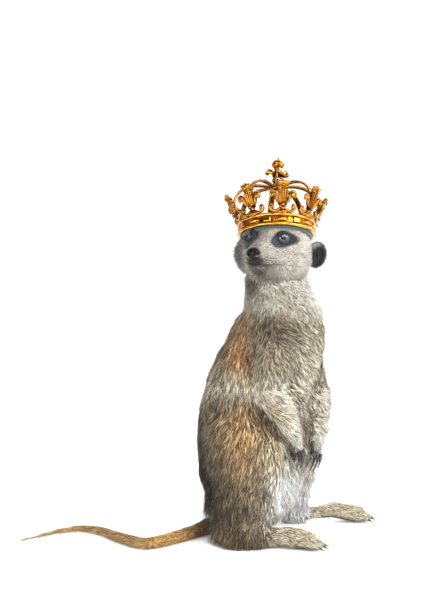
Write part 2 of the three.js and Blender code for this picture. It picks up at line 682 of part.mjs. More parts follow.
for (const [name, arm] of Object.entries(ARMS)) {
  const [wrist, palm] = arm.hand;
  flesh(`upper_arm_${name}`, FUR_BODY, (grow) => [solid(loft(arm.upper, { around: 12, rows: 1, caps: 3, ends: [15, 8], grow }))]);
  flesh(`forearm_${name}`, FUR_LIMB, (grow) => [solid(loft(arm.fore, { around: 12, rows: 1, caps: 2, ends: [8, 3], grow }))]);
  const turn = degrees(arm.spreadTurn + 90);
  const front = at(Math.cos(turn), Math.sin(turn), 0);
  flesh(`hand_${name}`, FUR_LIMB, (grow) => {
    const palmRings = [
      [wrist, 6.4, 5.4, 5.4],
      [wrist.clone().lerp(palm, 0.55), 7.6, 5, 5],
      [palm, 7.3, 4, 4.2],
    ];
    const shapes = [loft(palmRings, { around: 10, rows: 1, caps: 2, ends: [3, 2], facing: front, grow })];
    for (let i = 0; i < FINGERS; i++) {
      const { root, direction } = fingerLine(arm, i);
      const finger = [0, 3.8, 6.6].map((reach, k) => [
        root.clone().addScaledVector(direction, reach),
        2.2 - 0.15 * k,
        2.6 - 0.25 * k,
      ]);
      shapes.push(loft(finger, { around: 5, rows: 1, caps: 1, ends: [1, 1.2], facing: front, grow }));
    }
    return shapes.map(solid);
  });
  for (let i = 0; i < FINGERS; i++) {
    const { root, direction, inward } = fingerLine(arm, i);
    const tip = root.clone().addScaledVector(direction, 7);
    const length = 15.5 - 1.2 * Math.abs(i - 1.2);
    const horn = claw(tip, direction, inward, length, 2.3);
    flesh(`claw_hand_${name}_${i + 1}`, CLAW_HORN, () => [solid(horn)]);
  }
}

// ---- Tail: it lies along the floor in one long wave, in three lengths ----
const TAIL_LENGTHS = 3;
const TAIL_THICK = [15.5, 13.6, 12.4, 11.6, 10.4, 8.8, 7.4, 6, 4.6, 3.4];
const TAIL_LINE = [
  [4, 12],
  [-18, 2],
  [-40, -20],
  [-64, -36],
  [-86, -20],
  [-105, 2],
  [-124, 13],
  [-143, 9],
  [-161, -4],
  [-175, -15],
];
const tailRings = TAIL_LINE.map(([x, y], i) => {
  const radius = TAIL_THICK[i] / 2;
  const lift = i === 0 ? 6 : 0; // it leaves the rump a little above the floor
  return [at(x, y, radius * 0.93 + lift), radius, radius];
});
const tailSolid = (grow) => solid(loft(tailRings, { around: 10, rows: 3, caps: 2, ends: [4, 2.5], facing: UP, grow }));
const tailCuts = [
  [-64, -36, 6],
  [-124, 13, 4],
].map(([x, y, turn]) => {
  const slab = new THREE.BoxGeometry(GAP, 60, 60).rotateZ(degrees(turn));
  return solid(slab.translate(x, y, 10));
});
const tailWhole = [...placed, ...tailCuts].reduce((whole, other) => whole.subtract(other), tailSolid(0));
tailWhole
  .decompose()
  .sort((a, b) => b.volume() - a.volume())
  .slice(0, TAIL_LENGTHS)
  .sort((a, b) => b.boundingBox().max[0] - a.boundingBox().max[0])
  .forEach((length, i) => addPiece(model, `tail_${i + 1}`, length, FUR_TAIL));

// ---- The origin: the middle of the base, on the floor ----
model.updateMatrixWorld(true);
const extent = new THREE.Box3().setFromObject(model, true);
const middle = extent.getCenter(at(0, 0, 0));
model.position.set(-middle.x, -middle.y, -extent.min.z);

export default model;
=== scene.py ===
# A life-size model of a meerkat that wears a gilt crown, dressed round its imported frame.
# Lengths are metres in the frame's own axes: the animal's body faces +X, and +Z is up.
import math

import bmesh
import bpy
import numpy as np
from mathutils import Matrix, Vector, noise
from mathutils.bvhtree import BVHTree


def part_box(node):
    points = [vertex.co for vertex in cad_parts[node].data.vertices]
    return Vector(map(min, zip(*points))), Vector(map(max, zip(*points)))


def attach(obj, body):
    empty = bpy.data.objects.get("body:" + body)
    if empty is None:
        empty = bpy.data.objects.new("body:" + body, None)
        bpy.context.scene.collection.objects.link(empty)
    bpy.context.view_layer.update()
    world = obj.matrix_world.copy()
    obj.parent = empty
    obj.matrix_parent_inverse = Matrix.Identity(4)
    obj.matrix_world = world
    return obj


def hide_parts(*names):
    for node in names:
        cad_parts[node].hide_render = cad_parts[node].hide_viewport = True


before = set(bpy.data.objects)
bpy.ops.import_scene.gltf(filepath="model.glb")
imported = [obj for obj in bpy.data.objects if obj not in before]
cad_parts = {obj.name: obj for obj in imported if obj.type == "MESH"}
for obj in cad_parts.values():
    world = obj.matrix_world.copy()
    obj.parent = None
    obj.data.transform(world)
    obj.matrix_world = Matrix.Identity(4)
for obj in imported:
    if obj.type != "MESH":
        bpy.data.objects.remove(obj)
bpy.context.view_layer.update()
MM = 0.001
scene = bpy.context.scene


# ---- Studio: a camera a little above the animal, a pale floor and soft light ----
# The camera stands 1.2 m off and looks down by 8 degrees. The floor is matt white board. The air is white at
# the horizon, and greyer overhead, before the animal and towards its tail, for gold and eyes to mirror.
# A broad soft box hangs high in front, low ones light the flank and the legs, and a small one stands behind.
CAMERA_AIM = Vector((16.2, -3.4, 208)) * MM
CAMERA_BACK = 1200 * MM
CAMERA_LIFT = math.radians(8)
LENS = 80.94
FLOOR_REACH = 14.0
# Each lamp: name, place, width and height in metres, and watts.
LAMPS = (
    ("key", Vector((0.58, -1.06, 1.02)), 1.6, 0.75, 29.0),
    ("fill", Vector((-0.75, -1.05, 0.30)), 0.9, 0.6, 14.0),
    ("side", Vector((1.25, -0.60, 0.55)), 0.9, 0.8, 14.0),
    ("edge", Vector((0.75, 0.85, 0.75)), 0.6, 0.6, 8.0),
)
AIR_STRENGTH = 2.5
AIR_BY_HEIGHT = ((0.0, "#ffffff"), (0.2, "#ffffff"), (0.45, "#e2e2e1"), (1.0, "#cfd0d1"))
# How the air darkens towards the low end of an axis.
AIR_SHADES = (("Y", ((0.26, "#505050"), (0.54, "#ffffff"))), ("X", ((0.08, "#707070"), (0.30, "#ffffff"))))

back = Vector((0, -math.cos(CAMERA_LIFT), math.sin(CAMERA_LIFT)))
camera = bpy.data.objects.new("camera", bpy.data.cameras.new("camera"))
camera.data.lens = LENS
camera.location = CAMERA_AIM + back * CAMERA_BACK
camera.rotation_mode = "QUATERNION"
camera.rotation_quaternion = (-back).to_track_quat("-Z", "Y")
scene.collection.objects.link(camera)
scene.camera = camera
scene.view_settings.view_transform = "Standard"


def linear(colour):
    """An sRGB hex colour as linear red, green, blue and a full alpha."""
    channels = [int(colour[i : i + 2], 16) / 255 for i in (1, 3, 5)]
    return (*[((c + 0.055) / 1.055) ** 2.4 if c > 0.04045 else c / 12.92 for c in channels], 1.0)


def feed(node, inputs):
    """Sets a node's inputs to values, or links them to sockets or to other nodes' first outputs."""
    for key, value in inputs.items():
        if isinstance(value, bpy.types.Node):
            value = value.outputs[0]
        if isinstance(value, bpy.types.NodeSocket):
            node.id_data.links.new(value, node.inputs[key])
        else:
            node.inputs[key].default_value = value


def add(owner, kind, inputs=None, stops=(), **settings):
    """Adds a node with its settings and inputs, and (place, hex colour) stops where it is a colour ramp."""
    made = owner.node_tree.nodes.new(kind)
    for key, value in settings.items():
        setattr(made, key, value)
    feed(made, inputs or {})
    while stops and len(made.color_ramp.elements) < len(stops):
        made.color_ramp.elements.new(0.5)
    for number, (place, colour) in enumerate(stops):
        made.color_ramp.elements[number].position = place
        made.color_ramp.elements[number].color = linear(colour)
    return made


def finish(name, **sockets):
    """A new material with one Principled shader, and the shader."""
    material = bpy.data.materials.new(name)
    material.use_nodes = True
    shader = material.node_tree.nodes["Principled BSDF"]
    feed(shader, {key.replace("_", " "): value for key, value in sockets.items()})
    return material, shader


def piece(name, mesh, material):
    """A shown object with this mesh and material."""
    made = bpy.data.objects.new(name, mesh)
    mesh.name = name
    mesh.materials.clear()
    mesh.materials.append(material)
    scene.collection.objects.link(made)
    return made


def mesh_of(bm, name):
    """The bmesh as a smooth-shaded mesh. The bmesh is freed."""
    for face in bm.faces:
        face.smooth = True
    mesh = bpy.data.meshes.new(name)
    bm.to_mesh(mesh)
    bm.free()
    return mesh


board, board_shader = finish("matt white board", Roughness=0.9)
board_grain = add(board, "ShaderNodeTexNoise", {"Scale": 3.0, "Detail": 2.0})
board_tone = add(board, "ShaderNodeValToRGB", {"Fac": board_grain}, ((0.3, "#fafaf9"), (0.7, "#fdfdfc")))
feed(board_shader, {"Base Color": board_tone})
bm = bmesh.new()
bmesh.ops.create_circle(bm, cap_ends=True, segments=96, radius=FLOOR_REACH)
piece("floor", mesh_of(bm, "floor"), board)

# A Mix node of colours takes its factor at 0 and its colours at 6 and 7, and gives its result at 2.
MULTIPLY = {"data_type": "RGBA", "blend_type": "MULTIPLY"}
world = bpy.data.worlds.new("studio air")
world.use_nodes = True
air_way = add(world, "ShaderNodeTexCoord").outputs["Generated"]
air_parts = add(world, "ShaderNodeSeparateXYZ", {"Vector": air_way}).outputs
air_colour = add(world, "ShaderNodeValToRGB", {"Fac": air_parts["Z"]}, AIR_BY_HEIGHT).outputs["Color"]
for axis, stops in AIR_SHADES:
    whole_way = {"Value": air_parts[axis], "From Min": -1.0, "From Max": 1.0}
    shade = add(world, "ShaderNodeValToRGB", {"Fac": add(world, "ShaderNodeMapRange", whole_way)}, stops)
    air_colour = add(world, "ShaderNodeMix", {0: 1.0, 6: air_colour, 7: shade}, **MULTIPLY).outputs[2]
feed(world.node_tree.nodes["Background"], {"Color": air_colour, "Strength": AIR_STRENGTH})
scene.world = world

for lamp_name, place, wide, high, watts in LAMPS:
    lamp = bpy.data.objects.new(lamp_name, bpy.data.lights.new(lamp_name, "AREA"))
    lamp.data.shape = "RECTANGLE"
    lamp.data.size = wide
    lamp.data.size_y = high
    lamp.data.energy = watts
    lamp.location = place
    lamp.rotation_mode = "QUATERNION"
    lamp.rotation_quaternion = (CAMERA_AIM - place).to_track_quat("-Z", "Y")
    scene.collection.objects.link(lamp)


# ---- Head and crown frames: where the face and the crown's ornaments are laid out ----
# The head is turned to the animal's right, lifted and tipped a little. Its own axes are nose, left and up.
# The crown is tipped back on the head. Its own axes are set by the middle of its band and its foot.
HEAD_TURN, HEAD_LIFT, HEAD_TILT = math.radians(-116.7), math.radians(6), math.radians(-3)
EYE_PLACE = np.array((16.6, 14.3, 6.8))  # the left eye's middle in the head
CROWN_LEAN, CROWN_TURN = math.radians(-23), math.radians(-84)


def middle(node):
    low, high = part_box(node)
    return (low + high) / 2


def turned(turn=0.0, lift=0.0, tilt=0.0):
    return Matrix.Rotation(turn, 3, "Z") @ Matrix.Rotation(-lift, 3, "Y") @ Matrix.Rotation(tilt, 3, "X")


head_axes = turned(HEAD_TURN, HEAD_LIFT, HEAD_TILT)
between_eyes = Vector((EYE_PLACE[0], 0, EYE_PLACE[2])) * MM
head_origin = (middle("eye_left") + middle("eye_right")) / 2 - head_axes @ between_eyes
head_frame = Matrix.Translation(head_origin) @ head_axes.to_4x4()

crown_axes = turned(tilt=CROWN_LEAN)
band_points = np.array([crown_axes.inverted() @ v.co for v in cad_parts["crown_band"].data.vertices])
band_low, band_high = band_points.min(0), band_points.max(0)
crown_origin = crown_axes @ Vector((*((band_low + band_high) / 2)[:2], band_low[2]))
crown_frame = Matrix.Translation(crown_origin) @ crown_axes.to_4x4()


def seen_from(points, place):
    """Points (n, 3) in metres, in millimetres along a frame's own axes."""
    axes = np.array(place.to_3x3())
    return (points - np.array(place.translation)) @ axes / MM


# ---- Skin: the hide of the whole animal in one piece, darker under the coat with painted shade ----
# Fused from the frame's flesh, evened out where the body is broad, and sunk under the coat by the coat's
# depth. The face is divided finer, for the line of the mouth, the folds round the eyes and the nose's root.
SKIN_GRAIN = 1.6 * MM
NODE_GAP = 0.25 * MM  # each solid swells by this, so that neighbours meet
HEAD_ROUNDS = 40  # rounds of evening out at the head's back and foot
LEAST_HEIGHT = 0.4 * MM  # of the skin over the floor
# For each part: depth of the coat, its length and width, how steeply it rises, tufts in a square millimetre,
# how many rounds the skin is evened out, and how strongly dark and pale hairs are mixed in it.
COAT = {
    "head": (1.1, 4.2, 0.42, 0.32, 4.6, 3, 0.65),
    "neck": (2.4, 5.8, 0.40, 0.32, 2.8, 40, 0.7),
    "chest": (3.6, 8.8, 0.68, 0.36, 1.3, 40, 1.25),
    "belly": (4.0, 11.0, 0.76, 0.34, 1.0, 40, 1.25),
    "thigh": (3.8, 11.0, 0.74, 0.38, 1.3, 40, 1.3),
    "shank": (3.3, 10.0, 0.74, 0.36, 1.25, 24, 1.3),
    "foot": (1.0, 4.6, 0.50, 0.28, 2.9, 3, 1.0),
    "upper_arm": (2.6, 8.0, 0.70, 0.32, 1.5, 24, 1.0),
    "forearm": (1.9, 7.0, 0.62, 0.32, 1.8, 16, 0.9),
    "hand": (0.7, 3.2, 0.42, 0.28, 3.6, 2, 0.8),
    "tail": (1.2, 4.6, 0.50, 0.26, 3.0, 5, 1.0),
}
ZONES = list(COAT)
FLESH = [n for n in sorted(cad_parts) if n.startswith(tuple(ZONES))]
coat_table = np.array([COAT[z] for z in ZONES])


def merged(nodes):
    """The nodes' solids in one bmesh, each with its corners merged."""
    bm = bmesh.new()
    for name in nodes:
        bm.from_mesh(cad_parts[name].data)
    bmesh.ops.remove_doubles(bm, verts=bm.verts, dist=1e-7)
    bm.normal_update()
    return bm


def fused(nodes, grain, swell=0.0):
    """One closed surface round the nodes' solids, in even faces as large as grain."""
    bm = merged(nodes)
    for vert in bm.verts:
        vert.co += vert.normal * swell
    mesh = mesh_of(bm, "fused")
    holder = bpy.data.objects.new("fused", mesh)
    scene.collection.objects.link(holder)
    remesh = holder.modifiers.new("remesh", "REMESH")
    remesh.mode = "VOXEL"
    remesh.voxel_size = grain
    made = bpy.data.meshes.new_from_object(holder.evaluated_get(bpy.context.evaluated_depsgraph_get()))
    bpy.data.objects.remove(holder)
    bpy.data.meshes.remove(mesh)
    made.polygons.foreach_set("use_smooth", [True] * len(made.polygons))
    return made


def vectors(collection, key):
    """A vector of each item in a mesh's collection, as rows."""
    rows = np.empty(len(collection) * 3, np.float32)
    collection.foreach_get(key, rows)
    return rows.reshape(-1, 3).astype(float)


def places_of(mesh):
    return vectors(mesh.vertices, "co")


def normals_of(mesh):
    return vectors(mesh.vertex_normals, "vector")


def move_to(mesh, co):
    mesh.vertices.foreach_set("co", co.astype(np.float32).ravel())
    mesh.update()


def evened(mesh, values, rounds, share=0.5):
    """Values at a mesh's vertices, drawn towards their neighbours' mean by share, some rounds over."""
    edges = np.empty(len(mesh.edges) * 2, np.int32)
    mesh.edges.foreach_get("vertices", edges)
    a, b = edges[0::2], edges[1::2]
    count = len(mesh.vertices)
    degree = np.maximum(np.bincount(a, minlength=count) + np.bincount(b, minlength=count), 1)
    values = np.array(values, float).reshape(count, -1)
    for _ in range(rounds):
        for k in range(values.shape[1]):
            column = values[:, k]
            total = np.bincount(a, column[b], count) + np.bincount(b, column[a], count)
            values[:, k] += share * (total / degree - column)
    return values


def unit(vectors):
    return vectors / np.maximum(np.linalg.norm(vectors, axis=1, keepdims=True), 1e-9)


def soft_step(values, low, high):
    share = np.clip((values - low) / (high - low), 0, 1)
    return share * share * (3 - 2 * share)


def mirrored(points):
    """Places with their sideways part made positive, for marks alike on both sides."""
    return np.column_stack([points[:, 0], np.abs(points[:, 1]), points[:, 2]])


def blob(points, centre, reach):
    """A soft spot: 1 at its centre, and falling off over its reach."""
    return np.exp(-(((points - centre) / reach) ** 2).sum(1))


def ridge(room, half_width):
    """A soft stripe: 1 where there is no room to its line, and falling off over half its width."""
    return np.exp(-((room / half_width) ** 2))


def own_side(sideways):
    """Factors that take mirrored places back to their own side."""
    return np.column_stack([np.ones(len(sideways)), np.sign(sideways), np.ones(len(sideways))])


skin_mesh = fused(FLESH, SKIN_GRAIN, NODE_GAP)

# Divides the face once, and its front round the eyes, nose and mouth once more.
bm = bmesh.new()
bm.from_mesh(skin_mesh)
for front_from, top_to, foot_from in ((-2, 30, -27), (12, 17, -21)):
    in_head = seen_from(np.array([v.co for v in bm.verts]), head_frame)
    chosen = (in_head[:, 0] > front_from) & (in_head[:, 2] < top_to) & (in_head[:, 2] > foot_from)
    bm.verts.index_update()
    edges = [e for e in bm.edges if chosen[e.verts[0].index] and chosen[e.verts[1].index]]
    bmesh.ops.subdivide_edges(bm, edges=edges, cuts=1, use_grid_fill=True)
bmesh.ops.triangulate(bm, faces=[f for f in bm.faces if len(f.verts) > 4])
bm.to_mesh(skin_mesh)
bm.free()

# Which node's solid each vertex lies on.
node_points, node_faces, face_zone, face_node = [], [], [], []
for number, name in enumerate(FLESH):
    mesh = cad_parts[name].data
    start = len(node_points)
    node_points += [v.co for v in mesh.vertices]
    node_faces += [[start + i for i in p.vertices] for p in mesh.polygons]
    face_zone += [next(i for i, z in enumerate(ZONES) if name.startswith(z))] * len(mesh.polygons)
    face_node += [number] * len(mesh.polygons)
near = BVHTree.FromPolygons(node_points, node_faces)
skin = places_of(skin_mesh)
nearest = [near.find_nearest(p)[2] for p in skin]
zone = np.array(face_zone)[nearest]
node_of = np.array(face_node)[nearest]
in_head = seen_from(skin, head_frame)


def in_zone(*names):
    return np.isin(zone, [ZONES.index(z) for z in names])


on_head = in_zone("head")

# Evens the broad parts of the body out, with the back and foot of the head, and leaves the face, toes,
# fingers and tail as they are.
rounds = coat_table[zone, 5]
head_rest = np.maximum(soft_step(-in_head[:, 2], 19, 27), soft_step(-in_head[:, 0], 4, 14))
rounds = np.where(on_head, np.maximum(rounds, HEAD_ROUNDS * head_rest), rounds)
rounds = evened(skin_mesh, rounds, 6)
for step in (40, 30, 20, 12, 6, 3, 2):
    wide = (rounds[:, 0] >= step) * 0.5
    skin = evened(skin_mesh, skin, max(2, step // 4), share=wide)
move_to(skin_mesh, skin)

# The coat's measures over the skin, with soft changes from part to part.
measures = evened(skin_mesh, coat_table[zone], 12)
depth, length, width, rise, per_mm2, _, grizzle = measures.T
in_head = seen_from(skin, head_frame)
NOSE_PLACE = np.array((40.5, 0, -8.2))
nose_room = np.linalg.norm(in_head - NOSE_PLACE, axis=1)
face = soft_step(in_head[:, 0], 2, 18) * on_head
jaw_foot = soft_step(-in_head[:, 2], 14, 25) * on_head
cheek = blob(mirrored(in_head), (-4, 20, -16), (13, 18, 10)) * on_head
before_ear = blob(mirrored(in_head), (-9, 27, 1), (9, 9, 13)) * on_head
# The cheek that is turned away, and the temple over it.
far_cheek = (blob(in_head, (6, -26, -10), (13, 9, 11)) + blob(in_head, (6, -25, 9), (8, 8, 5))) * on_head
depth *= 1 - 0.45 * face
depth *= soft_step(nose_room, 5, 9)
width *= 1 - 0.2 * face
width *= 1 + 0.1 * jaw_foot
length *= 1 - 0.40 * face
length *= 1 + 0.8 * jaw_foot
length *= 1 + 1.3 * cheek + 0.4 * before_ear + 1.3 * far_cheek
rise *= 1 + 0.3 * jaw_foot
rise *= 1 + 0.6 * cheek + 0.4 * before_ear + 1.6 * far_cheek
# Longer, looser hair lies between the hands, under the rump, at the heels and on the nape. It is shorter on
# the rump. Each place: centre, reach, how much longer and how much looser.
for centre, reach, longer, looser in (
    ((92, 0, 88), (14, 34, 20), 0.8, 1.6),
    ((-2, 0, 68), (12, 70, 12), -0.4, -0.3),
    ((8, 0, 40), (14, 70, 12), 0.8, 1.6),
    ((28, 0, 8), (24, 70, 10), 0.7, 1.0),
    ((34, 0, 203), (12, 26, 12), 0.25, 0.4),
):
    loose = blob(skin / MM, centre, reach) * (1 - on_head)
    length *= 1 + longer * loose
    rise *= 1 + looser * loose
depth += 1.2 * before_ear
depth += 5 * blob(skin / MM, (104, 34, 28), (11, 16, 18))  # the left shank is slim in front
skin -= normals_of(skin_mesh) * depth[:, None] * MM
skin[:, 2] = np.maximum(skin[:, 2], LEAST_HEIGHT)


def from_line(points, line):
    """Each point's distance from a line of straight stretches, and the stretches' directions there."""
    best = np.full(len(points), 1e9)
    ahead = np.zeros_like(points)
    for a, b in zip(line[:-1], line[1:]):
        share = np.clip((points - a) @ (b - a) / ((b - a) @ (b - a)), 0, 1)
        away = np.linalg.norm(points - a - share[:, None] * (b - a), axis=1)
        closer = away < best
        best = np.where(closer, away, best)
        ahead[closer] = (b - a) / np.linalg.norm(b - a)
    return best, ahead


def spread(values, rounds):
    """One value for each place of the skin, evened out over some rounds."""
    return evened(skin_mesh, values, rounds)[:, 0]


# The skin closes round each eyeball and opens where the lids do, in an almond shape round the gaze.
EYE_RADIUS = 5.2
GAZE = (0.74, 0.66, 0.12)  # the left eye's, in the head
LID_OPEN_WIDE, LID_OPEN_HIGH = math.radians(66), math.radians(53)
SOCKET_GAP, SOCKET_SLOPE, LID_BACK = 0.15, 0.25, 1.3
# The mouth's line is a groove between soft lips, laid out in the head's side view.
MOUTH_LINE = np.array([(21.5, -16.1), (27, -16.3), (32, -16.5), (37, -17.2), (46, -16.6)])
MOUTH_DEPTH, MOUTH_HALF_WIDTH = 1.1, 0.85
LIP_RISE, LIP_OFF, LIP_HALF_WIDTH = 0.3, 1.8, 1.1
# The neck's fold, where the head turns, from ear to chest along the right side of the neck: front and height.
NECK_FOLD = np.array([(62, 233), (66, 229), (70, 222.5), (73.5, 216), (79, 214.5)])
FOLD_DEPTH, FOLD_HALF_WIDTH = 1.5, 2.2
THROAT_RISE = 2.4  # of the loose skin under the jaw

in_head = seen_from(skin, head_frame)
from_eye = mirrored(in_head) - EYE_PLACE
eye_room = np.linalg.norm(from_eye, axis=1)
gaze_way = unit(np.array([GAZE]))[0]
outer_way = unit(np.cross([(0.0, 0.0, 1.0)], [gaze_way]))[0]
up_way = np.cross(gaze_way, outer_way)
far = np.arccos(np.clip(unit(from_eye) @ gaze_way, -1, 1))
outward, upward = from_eye @ outer_way, from_eye @ up_way
off_gaze = np.maximum(np.hypot(outward, upward), 1e-6)
wide, high = far * outward / off_gaze, far * upward / off_gaze
opened = 1 - soft_step(np.hypot(wide / LID_OPEN_WIDE, high / LID_OPEN_HIGH), 0.98, 1.1)
close = (1 - soft_step(eye_room, 6.4, 8.2)) * on_head
socket = EYE_RADIUS + SOCKET_GAP + SOCKET_SLOPE * np.maximum(eye_room - EYE_RADIUS, 0) - LID_BACK * opened
hugged = (EYE_PLACE + unit(from_eye) * socket[:, None]) * own_side(in_head[:, 1])
in_head += close[:, None] * (hugged - in_head)
skin = in_head * MM @ np.array(head_axes).T + np.array(head_origin)
to_mouth = from_line(in_head[:, [0, 2]], MOUTH_LINE)[0]
mouth_from = np.where(in_head[:, 1] > 0, 20, 28)  # the far corner is drawn in
mouth = ridge(to_mouth, MOUTH_HALF_WIDTH) * soft_step(in_head[:, 0] - mouth_from, 0, 4) * on_head
lips = ridge(to_mouth - LIP_OFF, LIP_HALF_WIDTH) * soft_step(in_head[:, 0], 20, 26) * on_head
fold_room = from_line(skin[:, [0, 2]] / MM, NECK_FOLD)[0]
neck_fold = ridge(fold_room, FOLD_HALF_WIDTH) * (skin[:, 1] < 0) * in_zone("neck", "chest")
throat = spread(blob(skin / MM, (38, -10, 236), (10, 20, 10)) * in_zone("neck"), 4)
move_to(skin_mesh, skin)
raised = LIP_RISE * lips - MOUTH_DEPTH * mouth - FOLD_DEPTH * neck_fold + THROAT_RISE * throat
skin += normals_of(skin_mesh) * raised[:, None] * MM
move_to(skin_mesh, skin)
lie_normal = unit(evened(skin_mesh, normals_of(skin_mesh), 3))


# ---- Markings: the colours of skin and coat ----
# Each part has a ground colour, and soft patches lie over it. A patch is centre, reach, colour and strength.
# The body's are millimetres in the frame, alike on both flanks unless their middle lies to the right.
GROUND = {
    "head": "#b4aea2", "neck": "#9f9b8f", "chest": "#605849", "belly": "#6c5f49", "thigh": "#7f6c4e",
    "shank": "#5c4930", "foot": "#ab9f86", "upper_arm": "#7b725f", "forearm": "#b2a997", "hand": "#c2bdb0",
    "tail": "#bb8b51",
}
FLANK_MIDDLE = 2.0  # the body's middle plane, in millimetres along Y
BODY_PATCHES = (
    ((19, 0, 190), (13, 22, 34), "#3a352d", 1.3),  # grey back, from the shoulders down
    ((8, 0, 150), (14, 30, 34), "#7d7361", 0.80),
    ((1, 0, 92), (15, 60, 32), "#2e2922", 1.2),
    ((8, 0, 48), (22, 150, 31), "#16120c", 1.4),  # dark rump
    ((42, 24, 212), (14, 22, 10), "#7b7464", 0.65),  # shoulders
    ((37, 26, 190), (7, 30, 22), "#97704a", 0.75),  # rusty streak down the flank
    ((33, 30, 167), (8.5, 30, 20), "#a37647", 0.90),
    ((31, 32, 149), (10, 26, 9), "#c2b596", 0.85),  # pale hair over the thigh
    ((16, 24, 140), (18, 26, 6), "#a39c8d", 0.60),
    ((37, 36, 143), (10, 26, 7), "#d6c8a5", 0.85),
    ((36, 46, 117), (13, 30, 18), "#b08c61", 0.85),  # rusty middle of the thigh
    ((38, 46, 90), (12, 30, 24), "#9c7950", 0.80),
    ((60, 44, 86), (10, 40, 22), "#aea083", 0.75),
    ((60, 34, 108), (7, 16, 7), "#4b3e2d", 0.9),  # shade under the forearm
    ((53, 36, 124), (7, 20, 6), "#2d241a", 1.5),
    # Painted shade on the belly's right, between knee and hand.
    ((80, -26, 84), (8, 16, 9), "#4a3d2c", 1.0),
    ((38, 50, 46), (20, 24, 22), "#463926", 0.90),  # darker low thigh and heel
    ((28, 40, 20), (24, 30, 16), "#4f412a", 0.75),
    ((96, 18, 188), (15, 34, 22), "#a79e86", 0.75),  # paler front of the chest
    ((92, 18, 152), (17, 60, 28), "#c3bba6", 0.85),
    ((88, 18, 122), (14, 60, 22), "#b9b09a", 0.80),
    ((84, 16, 100), (13, 30, 26), "#857c6a", 0.80),  # belly behind the hands
    ((86, 0, 42), (26, 46, 27), "#f8f4e9", 1.3),  # white between the legs
    ((75, 38, 48), (12, 22, 26), "#f7f2e6", 1.2),
    ((94, 8, 224), (15, 30, 16), "#c6c4bb", 0.90),  # white throat
    ((60, -36, 222), (12, 20, 10), "#a5a193", 0.60),
    ((40, -24, 231), (13, 18, 13), "#3f3e35", 1.1),  # shade under the jaw
    ((34, -4, 236), (11, 24, 10), "#333229", 1.1),
    ((60, -42, 197), (10, 16, 10), "#544534", 0.75),  # brown at the swirl of the chest
    ((97, -10, 188), (5, 20, 5), "#554a3b", 0.7),  # a small whorl on the breast
    ((72, -42, 204), (9, 16, 6), "#8f7d64", 0.60),
)
ARM_PATCHES = (
    ((70, 50, 145), (15, 20, 13), "#c3bbaa", 0.85),  # the upper arm pales towards the elbow
    ((44, 50, 143), (12, 20, 9), "#c9bfa6", 0.80),
    # The warm fringe below the forearm is darkened with painted shade.
    ((57, 50, 122), (8, 20, 12), "#84704f", 0.70),  # warm fringe below the forearm
    ((97, 50, 142), (14, 30, 44), "#eae4d6", 1.3),  # pale front of the left arm
)
# The head's are in the head's own axes, alike on both sides.
HEAD_PATCHES = (
    ((10, 26, -9), (14, 12, 10), "#aaa498", 0.80),  # cheeks
    ((-12, 28, -2), (9, 11, 15), "#bfbbaf", 0.70),  # before the ears
    ((16, 0, 13), (12, 3.0, 9), "#a18d76", 0.70),  # brow
    ((17, 6.5, 13), (9, 2.6, 7), "#c2a486", 0.70),
    ((-8, 0, 22), (18, 22, 9), "#a89a80", 0.60),  # crown of the head
    ((29, 0, 0), (9, 3.5, 7), "#b5aca0", 0.75),  # bridge of the nose
    ((16, 20, -3), (6, 7, 3), "#b9a98e", 0.50),  # warm below the eye
    # Painted shade: the chin's dark hair is deepened with it, and the underside of the jaw is darkened by it.
    ((32, 0, -23.5), (8, 10, 5), "#2e2721", 1.3),  # chin
    ((18, 0, -29), (14, 13, 8), "#5b564b", 0.85),  # under the jaw
    ((33, 8, -18.0), (8, 6, 2.6), "#51463c", 0.85),  # lips
    ((39.5, 0, -14.5), (6.6, 8.2, 5.2), "#15110e", 1.6),  # dark hair under the nose
    ((29.5, 4.3, -24.2), (2.2, 2.2, 1.3), "#7b5546", 0.60),  # a bare spot on the chin
)
# The dark patch round each eye: a middle part, an inner corner that slants to the nose, and an outer corner.
EYE_PATCH = "#1b1f24"
EYE_PATCH_PARTS = (
    ((18.0, 14.5, 6.0), (8.6, 8.4, 7.7)),
    ((23.6, 11.4, 2.8), (6.4, 6.2, 5.2)),
    ((14.0, 20.0, 5.8), (5.4, 5.4, 4.7)),
)
# The right one reaches further down, and out to the temple.
RIGHT_PATCH_PARTS = (((24.5, -13.8, -0.4), (5.8, 5.4, 5.6)), ((11.0, -23.5, 7.0), (6.5, 5.5, 6.5)))
# Tones in the patch: the blue-grey at the inner corner and below the eye is a painted sheen; it darkens at
# the outer corner and close round the eye.
EYE_PATCH_TONES_AND_SHEEN = (
    ((24.0, 9.5, 4.5), (3.2, 3.0, 3.6), "#435160", 0.70),
    ((11.5, 22.5, 6.5), (4.0, 3.8, 3.6), "#101316", 0.90),
    ((23.0, 13.0, -1.0), (3.5, 4.0, 1.6), "#424f5b", 0.60),
    ((16.6, 14.3, 6.8), (7.4, 7.4, 7.4), "#08090b", 0.95),
)
PAD_SKIN = "#3a342d"
PALM_SKIN_AND_SHADE = "#4b4138"
INNER_WHITE, INNER_BROWN = "#f4f0e4", "#a59c88"  # inner faces of the legs: low down and higher up
# Pale edge hair before the forearm, and along the top of the thigh: front and height.
ARM_LINE = np.array([(56, 161.5), (68.5, 149.5), (76.5, 134), (80.5, 114)])
THIGH_LINE = np.array([(0, 136), (14, 142), (30, 142.5), (40, 139)])
MOST_PAINT = 0.97


def paint(colours, weight, colour):
    """Lays a colour over colours, as strongly as weight says."""
    colours += np.clip(weight, 0, MOST_PAINT)[:, None] * (np.array(linear(colour)[:3]) - colours)


